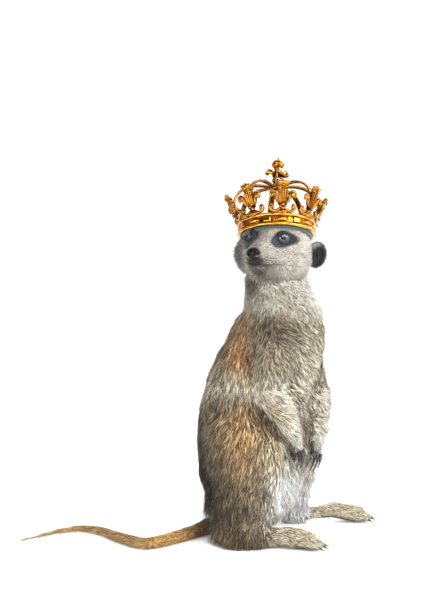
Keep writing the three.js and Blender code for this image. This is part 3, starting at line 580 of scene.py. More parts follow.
ground = np.array([linear(GROUND[z])[:3] for z in ZONES])
colours = evened(skin_mesh, ground[zone], 10)
flank = skin / MM - [0, FLANK_MIDDLE, 0]
body_share = spread(in_zone("neck", "chest", "belly", "thigh", "shank"), 6)
arm_share = spread(in_zone("upper_arm", "forearm"), 6)
for patches, share in ((BODY_PATCHES, body_share), (ARM_PATCHES, arm_share)):
    for centre, reach, colour, strength in patches:
        seen = flank if centre[1] < 0 else mirrored(flank)
        paint(colours, strength * blob(seen, centre, reach) * share, colour)
# The inner faces of the legs look towards the body's middle.
inward = soft_step(-lie_normal[:, 1] * np.sign(flank[:, 1]), 0.1, 0.6)
inner = spread(inward * in_zone("thigh", "shank") * soft_step(flank[:, 0], 40, 70), 3)
high_up = soft_step(flank[:, 2], 44, 56)
paint(colours, 0.9 * inner * (1 - high_up), INNER_WHITE)
paint(colours, 0.8 * inner * high_up, INNER_BROWN)
arm_edge = ridge(from_line(flank[:, [0, 2]], ARM_LINE)[0], 1.5) * in_zone("chest", "upper_arm", "forearm")
paint(colours, 0.4 * arm_edge, "#cfc9ba")
thigh_edge = ridge(from_line(flank[:, [0, 2]], THIGH_LINE)[0], 3.5) * in_zone("thigh", "belly", "chest")
paint(colours, 0.5 * thigh_edge, "#c4bcab")
# Painted shade in the neck's fold.
paint(colours, 0.6 * neck_fold, "#6a6154")

head_share = spread(on_head, 4)
in_head = seen_from(skin, head_frame)
both = mirrored(in_head)
for centre, reach, colour, strength in HEAD_PATCHES:
    paint(colours, strength * blob(both, centre, reach) * head_share, colour)
patch_rooms = [np.linalg.norm((both - centre) / reach, axis=1) for centre, reach in EYE_PATCH_PARTS]
patch_rooms += [np.linalg.norm((in_head - centre) / reach, axis=1) for centre, reach in RIGHT_PATCH_PARTS]
patch_room = (np.maximum(patch_rooms, 0.05) ** -5.0).sum(0) ** -0.2
patch = soft_step(patch_room, 1.14, 0.82) * head_share
paint(colours, patch, EYE_PATCH)
for centre, reach, colour, strength in EYE_PATCH_TONES_AND_SHEEN:
    paint(colours, strength * blob(both, centre, reach) * patch, colour)
# The mouth's line: dark lip skin, deepened with painted shade in its groove.
paint(colours, 0.9 * mouth, "#1a1512")
# The cheek that is turned away lies in shade.
paint(colours, 1.5 * blob(in_head, (15, -25, -11), (9, 9, 11)) * head_share, "#4a4943")
# Bare pads: the soles of the feet, and the palms, which look back to the belly. The palms are dark skin,
# deepened with painted shade between hands and belly.
under = soft_step(-lie_normal[:, 2], 0.45, 0.8) * in_zone("foot")
paint(colours, under, PAD_SKIN)
palm = spread(soft_step(-lie_normal[:, 0], 0.5, 0.9) * in_zone("hand"), 2)
paint(colours, 0.9 * palm, PALM_SKIN_AND_SHADE)
# The tail, seen from above: dark at its root, warm along its middle, paler to its tip.
TAIL_FROM = np.array((16.2, -3.4))
TAIL_LINE = TAIL_FROM + [
    (4, 12), (-18, 2), (-40, -20), (-64, -36), (-86, -20),
    (-105, 2), (-124, 13), (-143, 9), (-161, -4), (-175, -15),
]
on_tail = in_zone("tail")
paint(colours, 0.9 * on_tail * soft_step(flank[:, 0], -22, 4), "#342a20")
paint(colours, 0.55 * on_tail * soft_step(-flank[:, 0], 105, 150), "#c3a184")


# ---- Lie of the coat: the way the hair points at each place ----
# From the nose back over the head, down the body, along each limb to its claws, and along the tail to its
# tip. On the sides of the chest it sweeps forward, round a swirl before each shoulder.
SWIRL_PLACE, SWIRL_REACH = np.array((58, 46, 190)), np.array((20, 40, 20))
FORWARD_SWEEP = {"neck": 0.45, "chest": 1.0, "belly": 0.3}
# The node that each part of a limb points to, with the limb's side to be filled in.
NEXT_ALONG = {
    "upper_arm": "forearm_{}", "forearm": "hand_{}", "hand": "claw_hand_{}_2", "foot": "claw_foot_{}_2",
}
lie = np.zeros_like(skin)
head_x, head_y, head_z = np.array(head_axes).T
for number, name in enumerate(FLESH):
    here = node_of == number
    if name.startswith("head"):
        lie[here] = -head_x - 0.25 * head_z
        lie[here] += np.sign(in_head[here, 1:2]) * head_y * 0.25
        lie[here] += jaw_foot[here, None] * np.array((0, 0, -1.6))
    elif name.startswith("tail"):
        lie[here, :2] = from_line(skin[here][:, :2] / MM, TAIL_LINE)[1]
    elif name in FORWARD_SWEEP:
        forward = soft_step(flank[here, 0], 15, 80) * FORWARD_SWEEP[name]
        lie[here] = np.column_stack([forward, np.zeros_like(forward), -np.ones_like(forward)])
    elif name.startswith(("thigh", "shank")):
        lie[here] = (-0.12, 0, -1)
    else:
        limb, side = name.rsplit("_", 1)
        lie[here] = np.array((middle(NEXT_ALONG[limb].format(side)) - middle(name)).normalized())
        if limb == "forearm":
            lie[here] += (0.95, 0, 0.25)
        if limb == "foot":
            lie[here, 2] = -0.12
swirl_from = mirrored(flank) - SWIRL_PLACE
swirl = blob(mirrored(flank), SWIRL_PLACE, SWIRL_REACH) * in_zone("chest", "neck", "upper_arm")
spread_out = unit(swirl_from) * own_side(flank[:, 1])
lie += swirl[:, None] * (0.9 * spread_out + 0.7 * np.cross(lie_normal, spread_out))
lie = evened(skin_mesh, lie, 14)
lie = unit(lie - (lie * lie_normal).sum(1)[:, None] * lie_normal)
length *= 1 - 0.45 * swirl
rise *= 1 + 0.8 * swirl


# ---- The skin's own piece ----
# One closed hide under all the coat, in place of every flesh node. It is matt and a little uneven, with fine
# creases, and darker than the hair over it, as underfur and painted shade, apart from its bare places.
HIDE_PAINTED_SHADE = 0.42


def patterned(name, size, stops, detail=2.0, under=None, bump=None, rough=None, **sockets):
    """A material whose tones follow noise of a real size over the piece, as (place, hex colour) stops.

    The tones darken the colour layer that under names. bump is the noise's strength and depth as relief, and
    rough the roughness at its low and high ends.
    """
    material, shader = finish(name, **sockets)
    place_on = add(material, "ShaderNodeTexCoord").outputs["Object"]
    grain = add(material, "ShaderNodeTexNoise", {"Vector": place_on, "Scale": 1 / size, "Detail": detail})
    tone = add(material, "ShaderNodeValToRGB", {"Fac": grain}, stops).outputs["Color"]
    if under:
        layer = add(material, "ShaderNodeAttribute", attribute_name=under)
        tone = add(material, "ShaderNodeMix", {0: 1.0, 6: layer, 7: tone}, **MULTIPLY).outputs[2]
    feed(shader, {"Base Color": tone})
    if bump:
        relief = {"Height": grain, "Strength": bump[0], "Distance": bump[1]}
        feed(shader, {"Normal": add(material, "ShaderNodeBump", relief)})
    if rough:
        ends = {"Value": grain, "To Min": rough[0], "To Max": rough[1]}
        feed(shader, {"Roughness": add(material, "ShaderNodeMapRange", ends)})
    return material


def show(name, mesh, material, slot, *nodes):
    """A shown piece on the animal, which stands for the nodes that it replaces."""
    made = piece(name, mesh, material)
    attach(made, "root")
    if nodes:
        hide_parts(*nodes)
    return made


def colour_layer(mesh, colours):
    """Gives a mesh its markings, a colour at each vertex."""
    layer = mesh.color_attributes.new("marking", "FLOAT_COLOR", "POINT")
    rows = np.column_stack([colours, np.ones(len(colours))])
    layer.data.foreach_set("color", rows.astype(np.float32).ravel())


hide = patterned(
    "animal hide", 1.2 * MM, ((0.3, "#c8c8c8"), (0.7, "#ffffff")), 4.0, under="marking", bump=(0.4, 0.3 * MM),
    Roughness=0.75, Specular_IOR_Level=0.25,
)
bare = np.max([under, patch, mouth, palm], 0)[:, None]
# Outside its bare places the hide takes the markings darkened: painted shade deep in the coat.
colour_layer(skin_mesh, colours * (HIDE_PAINTED_SHADE + (1 - HIDE_PAINTED_SHADE) * bare))
show("skin", skin_mesh, hide, "fur_body", *FLESH)


# ---- Coat: tufts of hair over the skin, thin, overlapping and laid along the body ----
# Each tuft is a slim closed spike, three-sided, that leaves the skin, bends and falls back towards it.
# Long hair has a joint half way. The short hair of face, feet and tail is straight.
COAT_BRIGHTNESS = 1.5
PATCH_SIDE = 0.003  # each tuft's own patch on the unwrap
SUNK = 0.5 * MM  # each root lies this far under the skin
TUFT_LOWEST = 0.25 * MM  # of a tuft over the floor
# How much tufts vary in length, between a least and a most share of it.
LENGTH_VARIES, LEAST_LENGTH, MOST_LENGTH = 0.2, 0.55, 1.6
# A tuft's rise that is lost at its tip, its girth above the root, and its three corners in the root's width.
TUFT_FALL, TUFT_GIRTH = 0.45, 0.85
TUFT_CORNERS = ((-0.5, 0.0), (0.5, 0.0), (0.0, 0.42))
DARK_HAIR, PALE_HAIR = "#281b11", "#e2d1ad"
DARK_SHARE, PALE_SHARE = 0.33, 0.24
# Tuft roots are darker: the hair's own darker base, deepened as painted shade deep in the coat.
ROOT_TONE_AND_SHADE = 0.45
# How far hair strays from its lie: in broad locks, in small ones, and each tuft of its own.
BROAD_STRAY, SMALL_STRAY, OWN_STRAY = 0.38, 0.32, 0.13
# How far its tone strays from the marking: in streaks, in clouds, and each tuft of its own.
STREAK_TONE, CLOUD_TONE, OWN_TONE = 0.44, 0.30, 0.24

# Guard hair is matt, and scatters a little light at its edges, which softens the coat's outline. A hair of
# 0.05 mm is too fine to show, so tufts and their grain are some ten times as coarse.
fur = patterned(
    "grizzled guard hair", 0.8 * MM, ((0.3, "#cfcfcf"), (0.7, "#ffffff")), under="marking",
    Roughness=0.65, Specular_IOR_Level=0.25, Sheen_Weight=0.06,
)


def noise_at(points, size, seed):
    """Smooth noise from about -1 to 1 at points in millimetres, with features of that size."""
    shifted = points / size + seed * 17.3
    return np.array([noise.noise(p) for p in shifted.tolist()]) * 1.6


def triangles_of(mesh):
    mesh.calc_loop_triangles()
    corners = np.empty(len(mesh.loop_triangles) * 3, np.int32)
    mesh.loop_triangles.foreach_get("vertices", corners)
    return corners.reshape(-1, 3)


def roots_on(points, corners, density, rng):
    """Roots spread evenly over triangles: each root's triangle and its share of the three corners."""
    a, b, c = (points[corners[:, k]] for k in range(3))
    area = np.linalg.norm(np.cross(b - a, c - a), axis=1) / 2 / MM**2
    cumulative = np.cumsum(area * density[corners].mean(1))
    count = int(cumulative[-1])
    steps = (np.arange(count) + rng.random(count)) * cumulative[-1] / count
    chosen = np.minimum(np.searchsorted(cumulative, steps), len(corners) - 1)
    r, s = np.sqrt(rng.random(count)), rng.random(count)
    return corners[chosen], np.column_stack([1 - r, r * (1 - s), r * s])


def carried(values, root):
    """A vertex value carried to the roots."""
    corner, share = root
    values = values.reshape(len(values), -1)
    return sum(values[corner[:, k]] * share[:, k : k + 1] for k in range(3))


def unwrapped(points, axis):
    """Places on a cylinder's unwrap round the points' own middle line, in a unit square."""
    axis = unit(np.array([axis], float))[0]
    height = points @ axis
    order = np.argsort(height)
    smoothed = np.empty_like(points)
    window = max(1, len(points) // 12)
    for start in range(0, len(points), window):
        band = order[start : start + window]
        smoothed[band] = points[band].mean(0)
    away = points - smoothed
    first = unit(np.cross([axis], [[0.31, 0.83, 0.46]]))[0]
    second = np.cross(axis, first)
    turn = np.arctan2(away @ second, away @ first) / (2 * math.pi) + 0.5
    rank = (height - height.min()) / max(np.ptp(height), 1e-9)
    return 0.01 + 0.975 * np.column_stack([turn, rank])


def tufts(name, slot, root_at, along, out, long, wide, rising, curl, tones, unwrap):
    """A coat piece of closed three-sided spikes. tones holds a colour for each ring and for the tip."""
    count = len(root_at)
    side = np.cross(out, along)
    stations = np.linspace(0, 1, tones.shape[1])
    rings = []
    for t in stations:
        lifted = long * rising * (t - TUFT_FALL * t * t)
        centre = root_at + along * (long * t)[:, None] + out * lifted[:, None]
        centre = centre + side * (curl * long * t * t)[:, None]
        if t == 0.0:
            centre = centre - out * SUNK
        if t == 1.0:
            rings.append(centre[:, None, :])
            continue
        girth = wide * (1.0 if t == 0.0 else TUFT_GIRTH)
        ring = [centre + side * (girth * x)[:, None] + out * (girth * z)[:, None] for x, z in TUFT_CORNERS]
        rings.append(np.stack(ring, 1))
    points = np.concatenate(rings, 1)
    each = points.shape[1]
    points[:, :, 2] = np.maximum(points[:, :, 2], TUFT_LOWEST)
    faces = [(0, 2, 1)]
    for start in range(0, each - 4, 3):
        faces += [(start + k, start + (k + 1) % 3, start + 3 + (k + 1) % 3, start + 3 + k) for k in range(3)]
    last = each - 4
    faces += [(last + k, last + (k + 1) % 3, each - 1) for k in range(3)]
    loops = np.array([i for f in faces for i in f])
    starts = np.concatenate([[0], np.cumsum([len(f) for f in faces])[:-1]])
    mesh = bpy.data.meshes.new(name)
    mesh.vertices.add(count * each)
    mesh.loops.add(count * len(loops))
    mesh.polygons.add(count * len(faces))
    mesh.vertices.foreach_set("co", points.astype(np.float32).ravel())
    shift = np.arange(count)[:, None]
    corners_of = (shift * each + loops).ravel()
    mesh.loops.foreach_set("vertex_index", corners_of.astype(np.int32))
    mesh.polygons.foreach_set("loop_start", (shift * len(loops) + starts).ravel().astype(np.int32))
    mesh.update(calc_edges=True)
    mesh.polygons.foreach_set("use_smooth", np.ones(count * len(faces), bool))
    ring_of = np.array([min(i // 3, len(stations) - 1) for i in range(each)])
    colour_layer(mesh, tones[:, ring_of].reshape(-1, 3))
    spot = np.array([((i % 3) / 2, ring_of[i] / (len(stations) - 1)) for i in range(each)]) * PATCH_SIDE
    spot[each - 1] = (PATCH_SIDE / 2, PATCH_SIDE)
    layer = mesh.uv_layers.new(name="OFBake")
    uv = (unwrap[:, None, :] + spot[None]).reshape(-1, 2)[corners_of]
    layer.data.foreach_set("uv", uv.astype(np.float32).ravel())
    show(name, mesh, fur, slot)


skin_corners = triangles_of(skin_mesh)
corner_node = node_of[skin_corners[:, 0]]
# Bare places: round the eyes, on the nose, in the mouth's line, on soles and palms, and under the band.
BAND_RADIUS, BAND_HALF_WIDE = 31.5, 4.2
in_crown = seen_from(skin, crown_frame)
under_band = np.abs(np.hypot(in_crown[:, 0], in_crown[:, 1]) - BAND_RADIUS) < BAND_HALF_WIDE
under_band &= (in_crown[:, 2] > -3.5) & (in_crown[:, 2] < 12)
nose_room = np.linalg.norm(in_head - NOSE_PLACE, axis=1)
eye_room = np.linalg.norm(both - EYE_PLACE, axis=1)
haired = soft_step(eye_room, 6.2, 7.4)
haired *= 1 - 0.9 * np.clip(mouth * 1.6, 0, 1)
haired *= 1 - 0.85 * np.maximum(under, palm)
haired[under_band | (nose_room < 5.2)] = 0
# Tufts end short before the eyes, the nose and the mouth.
length *= 0.5 + 0.5 * soft_step(eye_room, 7, 11)
length *= 0.5 + 0.5 * soft_step(nose_room, 6, 10)
length *= 1 - 0.45 * ridge(to_mouth, 3) * soft_step(in_head[:, 0], 20, 24) * on_head

# Each coat piece: the nodes it covers, its side of the body's middle, and its slot.
COAT_PIECES = (
    ("head_right", "head", -1, "fur_head"),
    ("head_left", "head", 1, "fur_head"),
    ("neck", "neck", 0, "fur_head"),
    ("chest_right", "chest", -1, "fur_body"),
    ("chest_left", "chest", 1, "fur_body"),
    ("belly_right", "belly", -1, "fur_body"),
    ("belly_left", "belly", 1, "fur_body"),
    ("thigh_right", "thigh_right", 0, "fur_body"),
    ("thigh_left", "thigh_left", 0, "fur_body"),
    ("shank_right", "shank_right", 0, "fur_body"),
    ("shank_left", "shank_left", 0, "fur_body"),
    ("arm_right", ("upper_arm_right", "forearm_right"), 0, "fur_body"),
    ("arm_left", ("upper_arm_left", "forearm_left"), 0, "fur_body"),
    ("hands", "hand", 0, "fur_limb"),
    ("feet", "foot", 0, "fur_limb"),
    ("tail", "tail", 0, "fur_tail"),
)
# The axis that a piece is unwrapped round, where it isn't upright.
UPRIGHT = (0, 0, 1)
UNWRAP_AXES = {"head": tuple(head_x), "foot": (1, 0, 0), "tail": (1, 0, 0)}
# Long hair grows in two layers: jointed tufts, and slim straight hairs among them that reach a little
# further. Each layer: name, share of the tufts, of their width and of their length, and if it is jointed.
LONG_LAYERS = (("coat", 0.70, 0.94, 1.0, True), ("guard", 1.42, 0.43, 1.12, False))
SHORT_LAYERS = (("coat", 1.0, 1.0, 1.0, False),)
SHORT_HAIRED = ("head", "hand", "foot", "tail")
FIRST_SEED, GUARD_SEED = 100, 50
GROWTH = [
    (number, place, layer)
    for number, place in enumerate(COAT_PIECES)
    for layer in (SHORT_LAYERS if place[1] in SHORT_HAIRED else LONG_LAYERS)
]
for number, (place_name, nodes, side, slot), (layer_name, share, slim, reach, jointed) in GROWTH:
    rng = np.random.default_rng(FIRST_SEED + number + GUARD_SEED * (layer_name == "guard"))
    inside = np.isin(corner_node, [i for i, n in enumerate(FLESH) if n.startswith(nodes)])
    if side:
        sideways = in_head[:, 1] if nodes == "head" else flank[:, 1]
        inside &= np.sign(sideways[skin_corners[:, 0]]) == side
    root = roots_on(skin, skin_corners[inside], per_mm2 * haired * share, rng)
    count = len(root[0])
    root_at = carried(skin, root)
    out = unit(carried(lie_normal, root))
    along = carried(lie, root)
    at_mm = root_at / MM
    # Hair leans together in locks, and each tuft strays a little of its own.
    stray = BROAD_STRAY * noise_at(at_mm, 9.0, number + 1) + SMALL_STRAY * noise_at(at_mm, 3.2, number + 2)
    stray = stray + rng.normal(0, OWN_STRAY, count)
    along = unit(along - (along * out).sum(1)[:, None] * out)
    side_way = np.cross(out, along)
    along = along * np.cos(stray)[:, None] + side_way * np.sin(stray)[:, None]
    varied = np.clip(rng.normal(1, LENGTH_VARIES, count), LEAST_LENGTH, MOST_LENGTH)
    long = carried(length, root)[:, 0] * MM * reach * varied
    wide = carried(width, root)[:, 0] * MM * slim * rng.uniform(0.75, 1.25, count)
    rising = carried(rise, root)[:, 0] * rng.uniform(0.6, 1.5, count)
    curl = rng.normal(0, 0.10, count)
    # Tone: streaks along the hair, and single dark and pale tufts among them, fewer where the coat is white.
    side_way = np.cross(out, along)
    across_mm = (at_mm * side_way).sum(1)[:, None] * side_way + 0.3 * (at_mm * along).sum(1)[:, None] * along
    base = carried(colours, root)
    level = base.mean(1)
    lively = carried(grizzle, root)[:, 0] * (1 - 0.65 * soft_step(level, 0.40, 0.72))
    lively = lively * (0.3 + 0.7 * soft_step(level, 0.004, 0.05))
    mottle = STREAK_TONE * noise_at(across_mm, 2.0, 40 + number)
    mottle = mottle + CLOUD_TONE * noise_at(at_mm, 5.5, 60 + number)
    tone = 1 + lively * (mottle + rng.normal(0, OWN_TONE, count))
    shade = np.clip(base * np.clip(tone, 0.3, 1.8)[:, None] * COAT_BRIGHTNESS, 0, 0.94)
    pick = rng.random(count)
    dark = pick < DARK_SHARE * lively
    pale = pick > 1 - PALE_SHARE * lively
    shade[dark] = 0.25 * shade[dark] + 0.55 * np.array(linear(DARK_HAIR)[:3])
    shade[pale] = 1.55 * shade[pale] + 0.15 * np.array(linear(PALE_HAIR)[:3])
    tip = np.clip(shade * np.where(dark, 0.7, 1.12)[:, None], 0, 0.96)
    # Each tuft darkens towards its root, partly as painted shade in the coat; straight tufts by 0.7.
    tones = np.stack([shade * ROOT_TONE_AND_SHADE, shade, tip] if jointed else [shade * 0.7, tip], 1)
    unwrap = unwrapped(at_mm, UNWRAP_AXES.get(nodes, UPRIGHT))
    tufts(f"{layer_name}_{place_name}", slot, root_at, along, out, long, wide, rising, curl, tones, unwrap)


# ---- Eyes: dark glass balls with a dark iris under a painted slate reflection ----
# The iris is painted round the gaze as rings, its teal ring a painted reflection of the sky, under a clear
# polished cornea that catches the lamps.
CORNEA_CURVE, CORNEA_EDGE = 7.5, math.radians(62)  # the clear front is flatter than the ball
# The teal ring stands for the sky mirrored in the eye, a painted reflection over a dark iris.
IRIS_AND_SKY_RINGS = ((0.13, "#010202"), (0.17, "#06141a"), (0.25, "#133442"), (0.30, "#081014"), (0.35, "#030404"))
SIDES = (("left", 1), ("right", -1))
eye_glass, eye_shader = finish(
    "polished eye glass",
    Roughness=0.2, Specular_IOR_Level=0.1, Coat_Weight=1.0, Coat_Roughness=0.02, Coat_IOR=1.5,
)
from_pupil = add(eye_glass, "ShaderNodeAttribute", attribute_name="from_pupil").outputs["Fac"]
iris = add(eye_glass, "ShaderNodeValToRGB", {"Fac": from_pupil}, IRIS_AND_SKY_RINGS)
eye_place = add(eye_glass, "ShaderNodeTexCoord").outputs["Object"]
flecks = add(eye_glass, "ShaderNodeTexNoise", {"Vector": eye_place, "Scale": 1 / (0.5 * MM), "Detail": 3.0})
fleck_tone = add(eye_glass, "ShaderNodeValToRGB", {"Fac": flecks}, ((0.35, "#9a9a9a"), (0.65, "#ffffff")))
flecked = add(eye_glass, "ShaderNodeMix", {0: 1.0, 6: iris, 7: fleck_tone}, **MULTIPLY)
feed(eye_shader, {"Base Color": flecked.outputs[2]})
for side_name, side in SIDES:
    gaze = head_axes @ Vector((GAZE[0], side * GAZE[1], GAZE[2]))
    bm = bmesh.new()
    bmesh.ops.create_uvsphere(bm, u_segments=64, v_segments=48, radius=EYE_RADIUS * MM)
    angles = []
    for vert in bm.verts:
        angle = vert.co.angle(Vector((0, 0, 1)))
        angles.append(angle / math.pi)
        if angle < CORNEA_EDGE:
            out, edge = EYE_RADIUS * math.sin(angle), EYE_RADIUS * math.sin(CORNEA_EDGE)
            dome = math.sqrt(CORNEA_CURVE**2 - out**2) - math.sqrt(CORNEA_CURVE**2 - edge**2)
            vert.co.z = (EYE_RADIUS * math.cos(CORNEA_EDGE) + dome) * MM
    looking = gaze.to_track_quat("Z", "Y").to_matrix().to_4x4()
    bm.transform(Matrix.Translation(middle(f"eye_{side_name}")) @ looking)
    mesh = mesh_of(bm, "eye")
    layer = mesh.attributes.new("from_pupil", "FLOAT", "POINT")
    layer.data.foreach_set("value", angles)
    show(f"eyeball_{side_name}", mesh, eye_glass, "eye_glass", f"eye_{side_name}")


# ---- Eyelids: dark rims round an almond opening, with a moist margin below ----
# A roll of thin bare skin, near black, runs round the opening close to the eyeball, thicker above. The margin
# is a slimmer rod along its lower edge, wet and shining, with a painted pale blue-grey reflection in its
# tone.
UPPER_LID, LOWER_LID, LID_DEEP = 1.3, 0.8, 0.8
LID_OFF, MARGIN_OFF, MARGIN_HALF = 0.12, 0.24, 0.17  # off the eyeball, and the margin's thickness


def through(rows, steps):
    """Rows of numbers joined by a smooth curve through them, in so many steps each."""
    rows = np.array(rows, float)
    ends = np.vstack([2 * rows[0] - rows[1], rows, 2 * rows[-1] - rows[-2]])
    t = np.linspace(0, 1, steps, endpoint=False)[:, None]
    made = []
    for a, b, c, d in zip(ends[:-3], ends[1:-2], ends[2:-1], ends[3:]):
        squared, cubed = 2 * a - 5 * b + 4 * c - d, 3 * b - a - 3 * c + d
        made.append((2 * b + (c - a) * t + squared * t**2 + cubed * t**3) / 2)
    return np.vstack([*made, rows[-1:]])


def rod(bm, rows, facing, sides=8, closed=False):
    """Adds a rod along rows of x, y, z, half its width and half its depth. Its depth looks along facing."""
    rows = np.array(rows, float)
    centre = rows[:, :3]
    if closed:
        ahead = np.roll(centre, -1, axis=0) - np.roll(centre, 1, axis=0)
    else:
        ahead = np.gradient(centre, axis=0)
    across = unit(np.cross(np.broadcast_to(facing, centre.shape), ahead))
    out = unit(np.cross(ahead, across))
    if closed:
        rows, centre, across, out = (np.vstack([v, v[:1]]) for v in (rows, centre, across, out))
    last = len(rows) - 1
    grid = bmesh.ops.create_grid(bm, x_segments=last, y_segments=sides, size=1)["verts"]
    for vert in grid:
        i = round((vert.co.x + 1) / 2 * last)
        turn = (vert.co.y + 1) * math.pi
        vert.co = centre[i] + across[i] * rows[i, 3] * math.cos(turn) + out[i] * rows[i, 4] * math.sin(turn)
    bmesh.ops.remove_doubles(bm, verts=grid, dist=1e-5)
    bmesh.ops.holes_fill(bm, edges=[e for e in bm.edges if e.is_boundary], sides=0)


def shells(bm, name, place=None):
    """The bmesh's closed bodies as a mesh, with their faces outward, put in place."""
    bmesh.ops.recalc_face_normals(bm, faces=bm.faces)
    if place:
        bm.transform(place)
    return mesh_of(bm, name)


def opening(turn, grow):
    """A direction from the left eye's middle to a place on the opening's edge, grown by an angle."""
    wide = (LID_OPEN_WIDE + grow) * math.cos(turn)
    high = (LID_OPEN_HIGH + grow) * math.sin(turn) * abs(math.sin(turn)) ** 0.2
    far = math.hypot(wide, high)
    return gaze_way * math.cos(far) + (outer_way * wide + up_way * high) * math.sin(far) / far


lid_skin = patterned(
    "thin dark lid skin", 0.6 * MM, ((0.35, "#08090a"), (0.7, "#15171a")), 3.0, bump=(0.5, 0.15 * MM),
    Roughness=0.45, Specular_IOR_Level=0.3,
)
# The margin's pale blue-grey tone is a painted reflection on the wet rim.
moist = patterned(
    "moist lid margin", 0.9 * MM, ((0.35, "#2b3943"), (0.7, "#50637a")), Roughness=0.12, IOR=1.4
)
IN_HEAD = head_frame @ Matrix.Scale(MM, 4)
for side_name, side in SIDES:
    mirror = np.array((1, side, 1))
    lids, margin = bmesh.new(), bmesh.new()
    rows, facing = [], []
    for turn in np.linspace(0, 2 * math.pi, 64, endpoint=False):
        above = soft_step(math.sin(turn), -0.2, 0.5)
        half = LOWER_LID + (UPPER_LID - LOWER_LID) * above
        way = opening(turn, 0.6 * half / EYE_RADIUS) * mirror
        place = EYE_PLACE * mirror + way * (EYE_RADIUS + LID_OFF + LID_OFF * above)
        rows.append((*place, half, LID_DEEP))
        facing.append(way)
    rod(lids, rows, facing, sides=12, closed=True)
    rows, facing = [], []
    for turn in np.linspace(math.pi * 0.9, math.pi * 1.8, 28):
        way = opening(turn, -0.03) * mirror
        rows.append((*(EYE_PLACE * mirror + way * (EYE_RADIUS + MARGIN_OFF)), MARGIN_HALF, MARGIN_HALF))
        facing.append(way)
    rod(margin, rows, facing)
    show(f"eyelids_{side_name}", shells(lids, "eyelids", IN_HEAD), lid_skin, "ear_skin")
    show(f"lid_margin_{side_name}", shells(margin, "lid_margin", IN_HEAD), moist, "ear_skin")


# ---- Nose: moist dark leather with two nostrils, the left one pink under its rim ----
# The frame's nose is made finer, then dented at the nostrils and along the line between them.
NOSTRIL, NOSTRIL_REACH = np.array((43.4, 3.6, -9.0)), np.array((2.4, 1.5, 1.15))
NOSE_GRAIN, PEBBLE = 0.4 * MM, 0.55 * MM
NOSE_SWELL, NOSE_BACK = 0.06, np.array((-1.3, 0, 0))
NOSTRIL_DEEP, LINE_DEEP, LINE_HALF_WIDTH = 1.3, 0.35, 0.55
leather, leather_shader = finish(
    "moist nose leather", Roughness=0.45, Specular_IOR_Level=0.14, Coat_Weight=0.04
)
leather_marking = add(leather, "ShaderNodeAttribute", attribute_name="marking")
leather_place = add(leather, "ShaderNodeTexCoord").outputs["Object"]
pebbles = add(leather, "ShaderNodeTexVoronoi", {"Vector": leather_place, "Scale": 1 / PEBBLE})
pebble_tone = add(leather, "ShaderNodeValToRGB", {"Fac": pebbles}, ((0.0, "#ffffff"), (0.75, "#b4b4b4")))
pebbled = add(leather, "ShaderNodeMix", {0: 1.0, 6: leather_marking, 7: pebble_tone}, **MULTIPLY)
pebble_relief = {"Height": pebbles, "Strength": 0.5, "Distance": 0.15 * MM}
leather_bump = add(leather, "ShaderNodeBump", pebble_relief, invert=True)
feed(leather_shader, {"Base Color": pebbled.outputs[2], "Normal": leather_bump})
nose_mesh = fused(["nose"], NOSE_GRAIN)
nose = evened(nose_mesh, places_of(nose_mesh), 4)
nose += NOSE_SWELL * (nose - nose.mean(0)) + NOSE_BACK * MM
move_to(nose_mesh, nose)
on_nose = seen_from(nose, head_frame)
nostril = blob(mirrored(on_nose), NOSTRIL, NOSTRIL_REACH)
between = ridge(on_nose[:, 1], LINE_HALF_WIDTH) * soft_step(-on_nose[:, 2], 6, 9)
between *= soft_step(on_nose[:, 0], 40, 42)
nose -= normals_of(nose_mesh) * (NOSTRIL_DEEP * nostril + LINE_DEEP * between)[:, None] * MM
move_to(nose_mesh, nose)
tint = np.tile(linear("#050506")[:3], (len(nose), 1))
# Painted shade: the nostrils are darker inside.
paint(tint, soft_step(nostril, 0.45, 0.8), "#030304")
pink_rim = blob(on_nose, NOSTRIL - [0.3, 0, 1.15], (1.9, 1.3, 0.65))
paint(tint, 0.9 * pink_rim, "#b98684")
colour_layer(nose_mesh, tint)
show("nose_leather", nose_mesh, leather, "nose_skin", "nose")


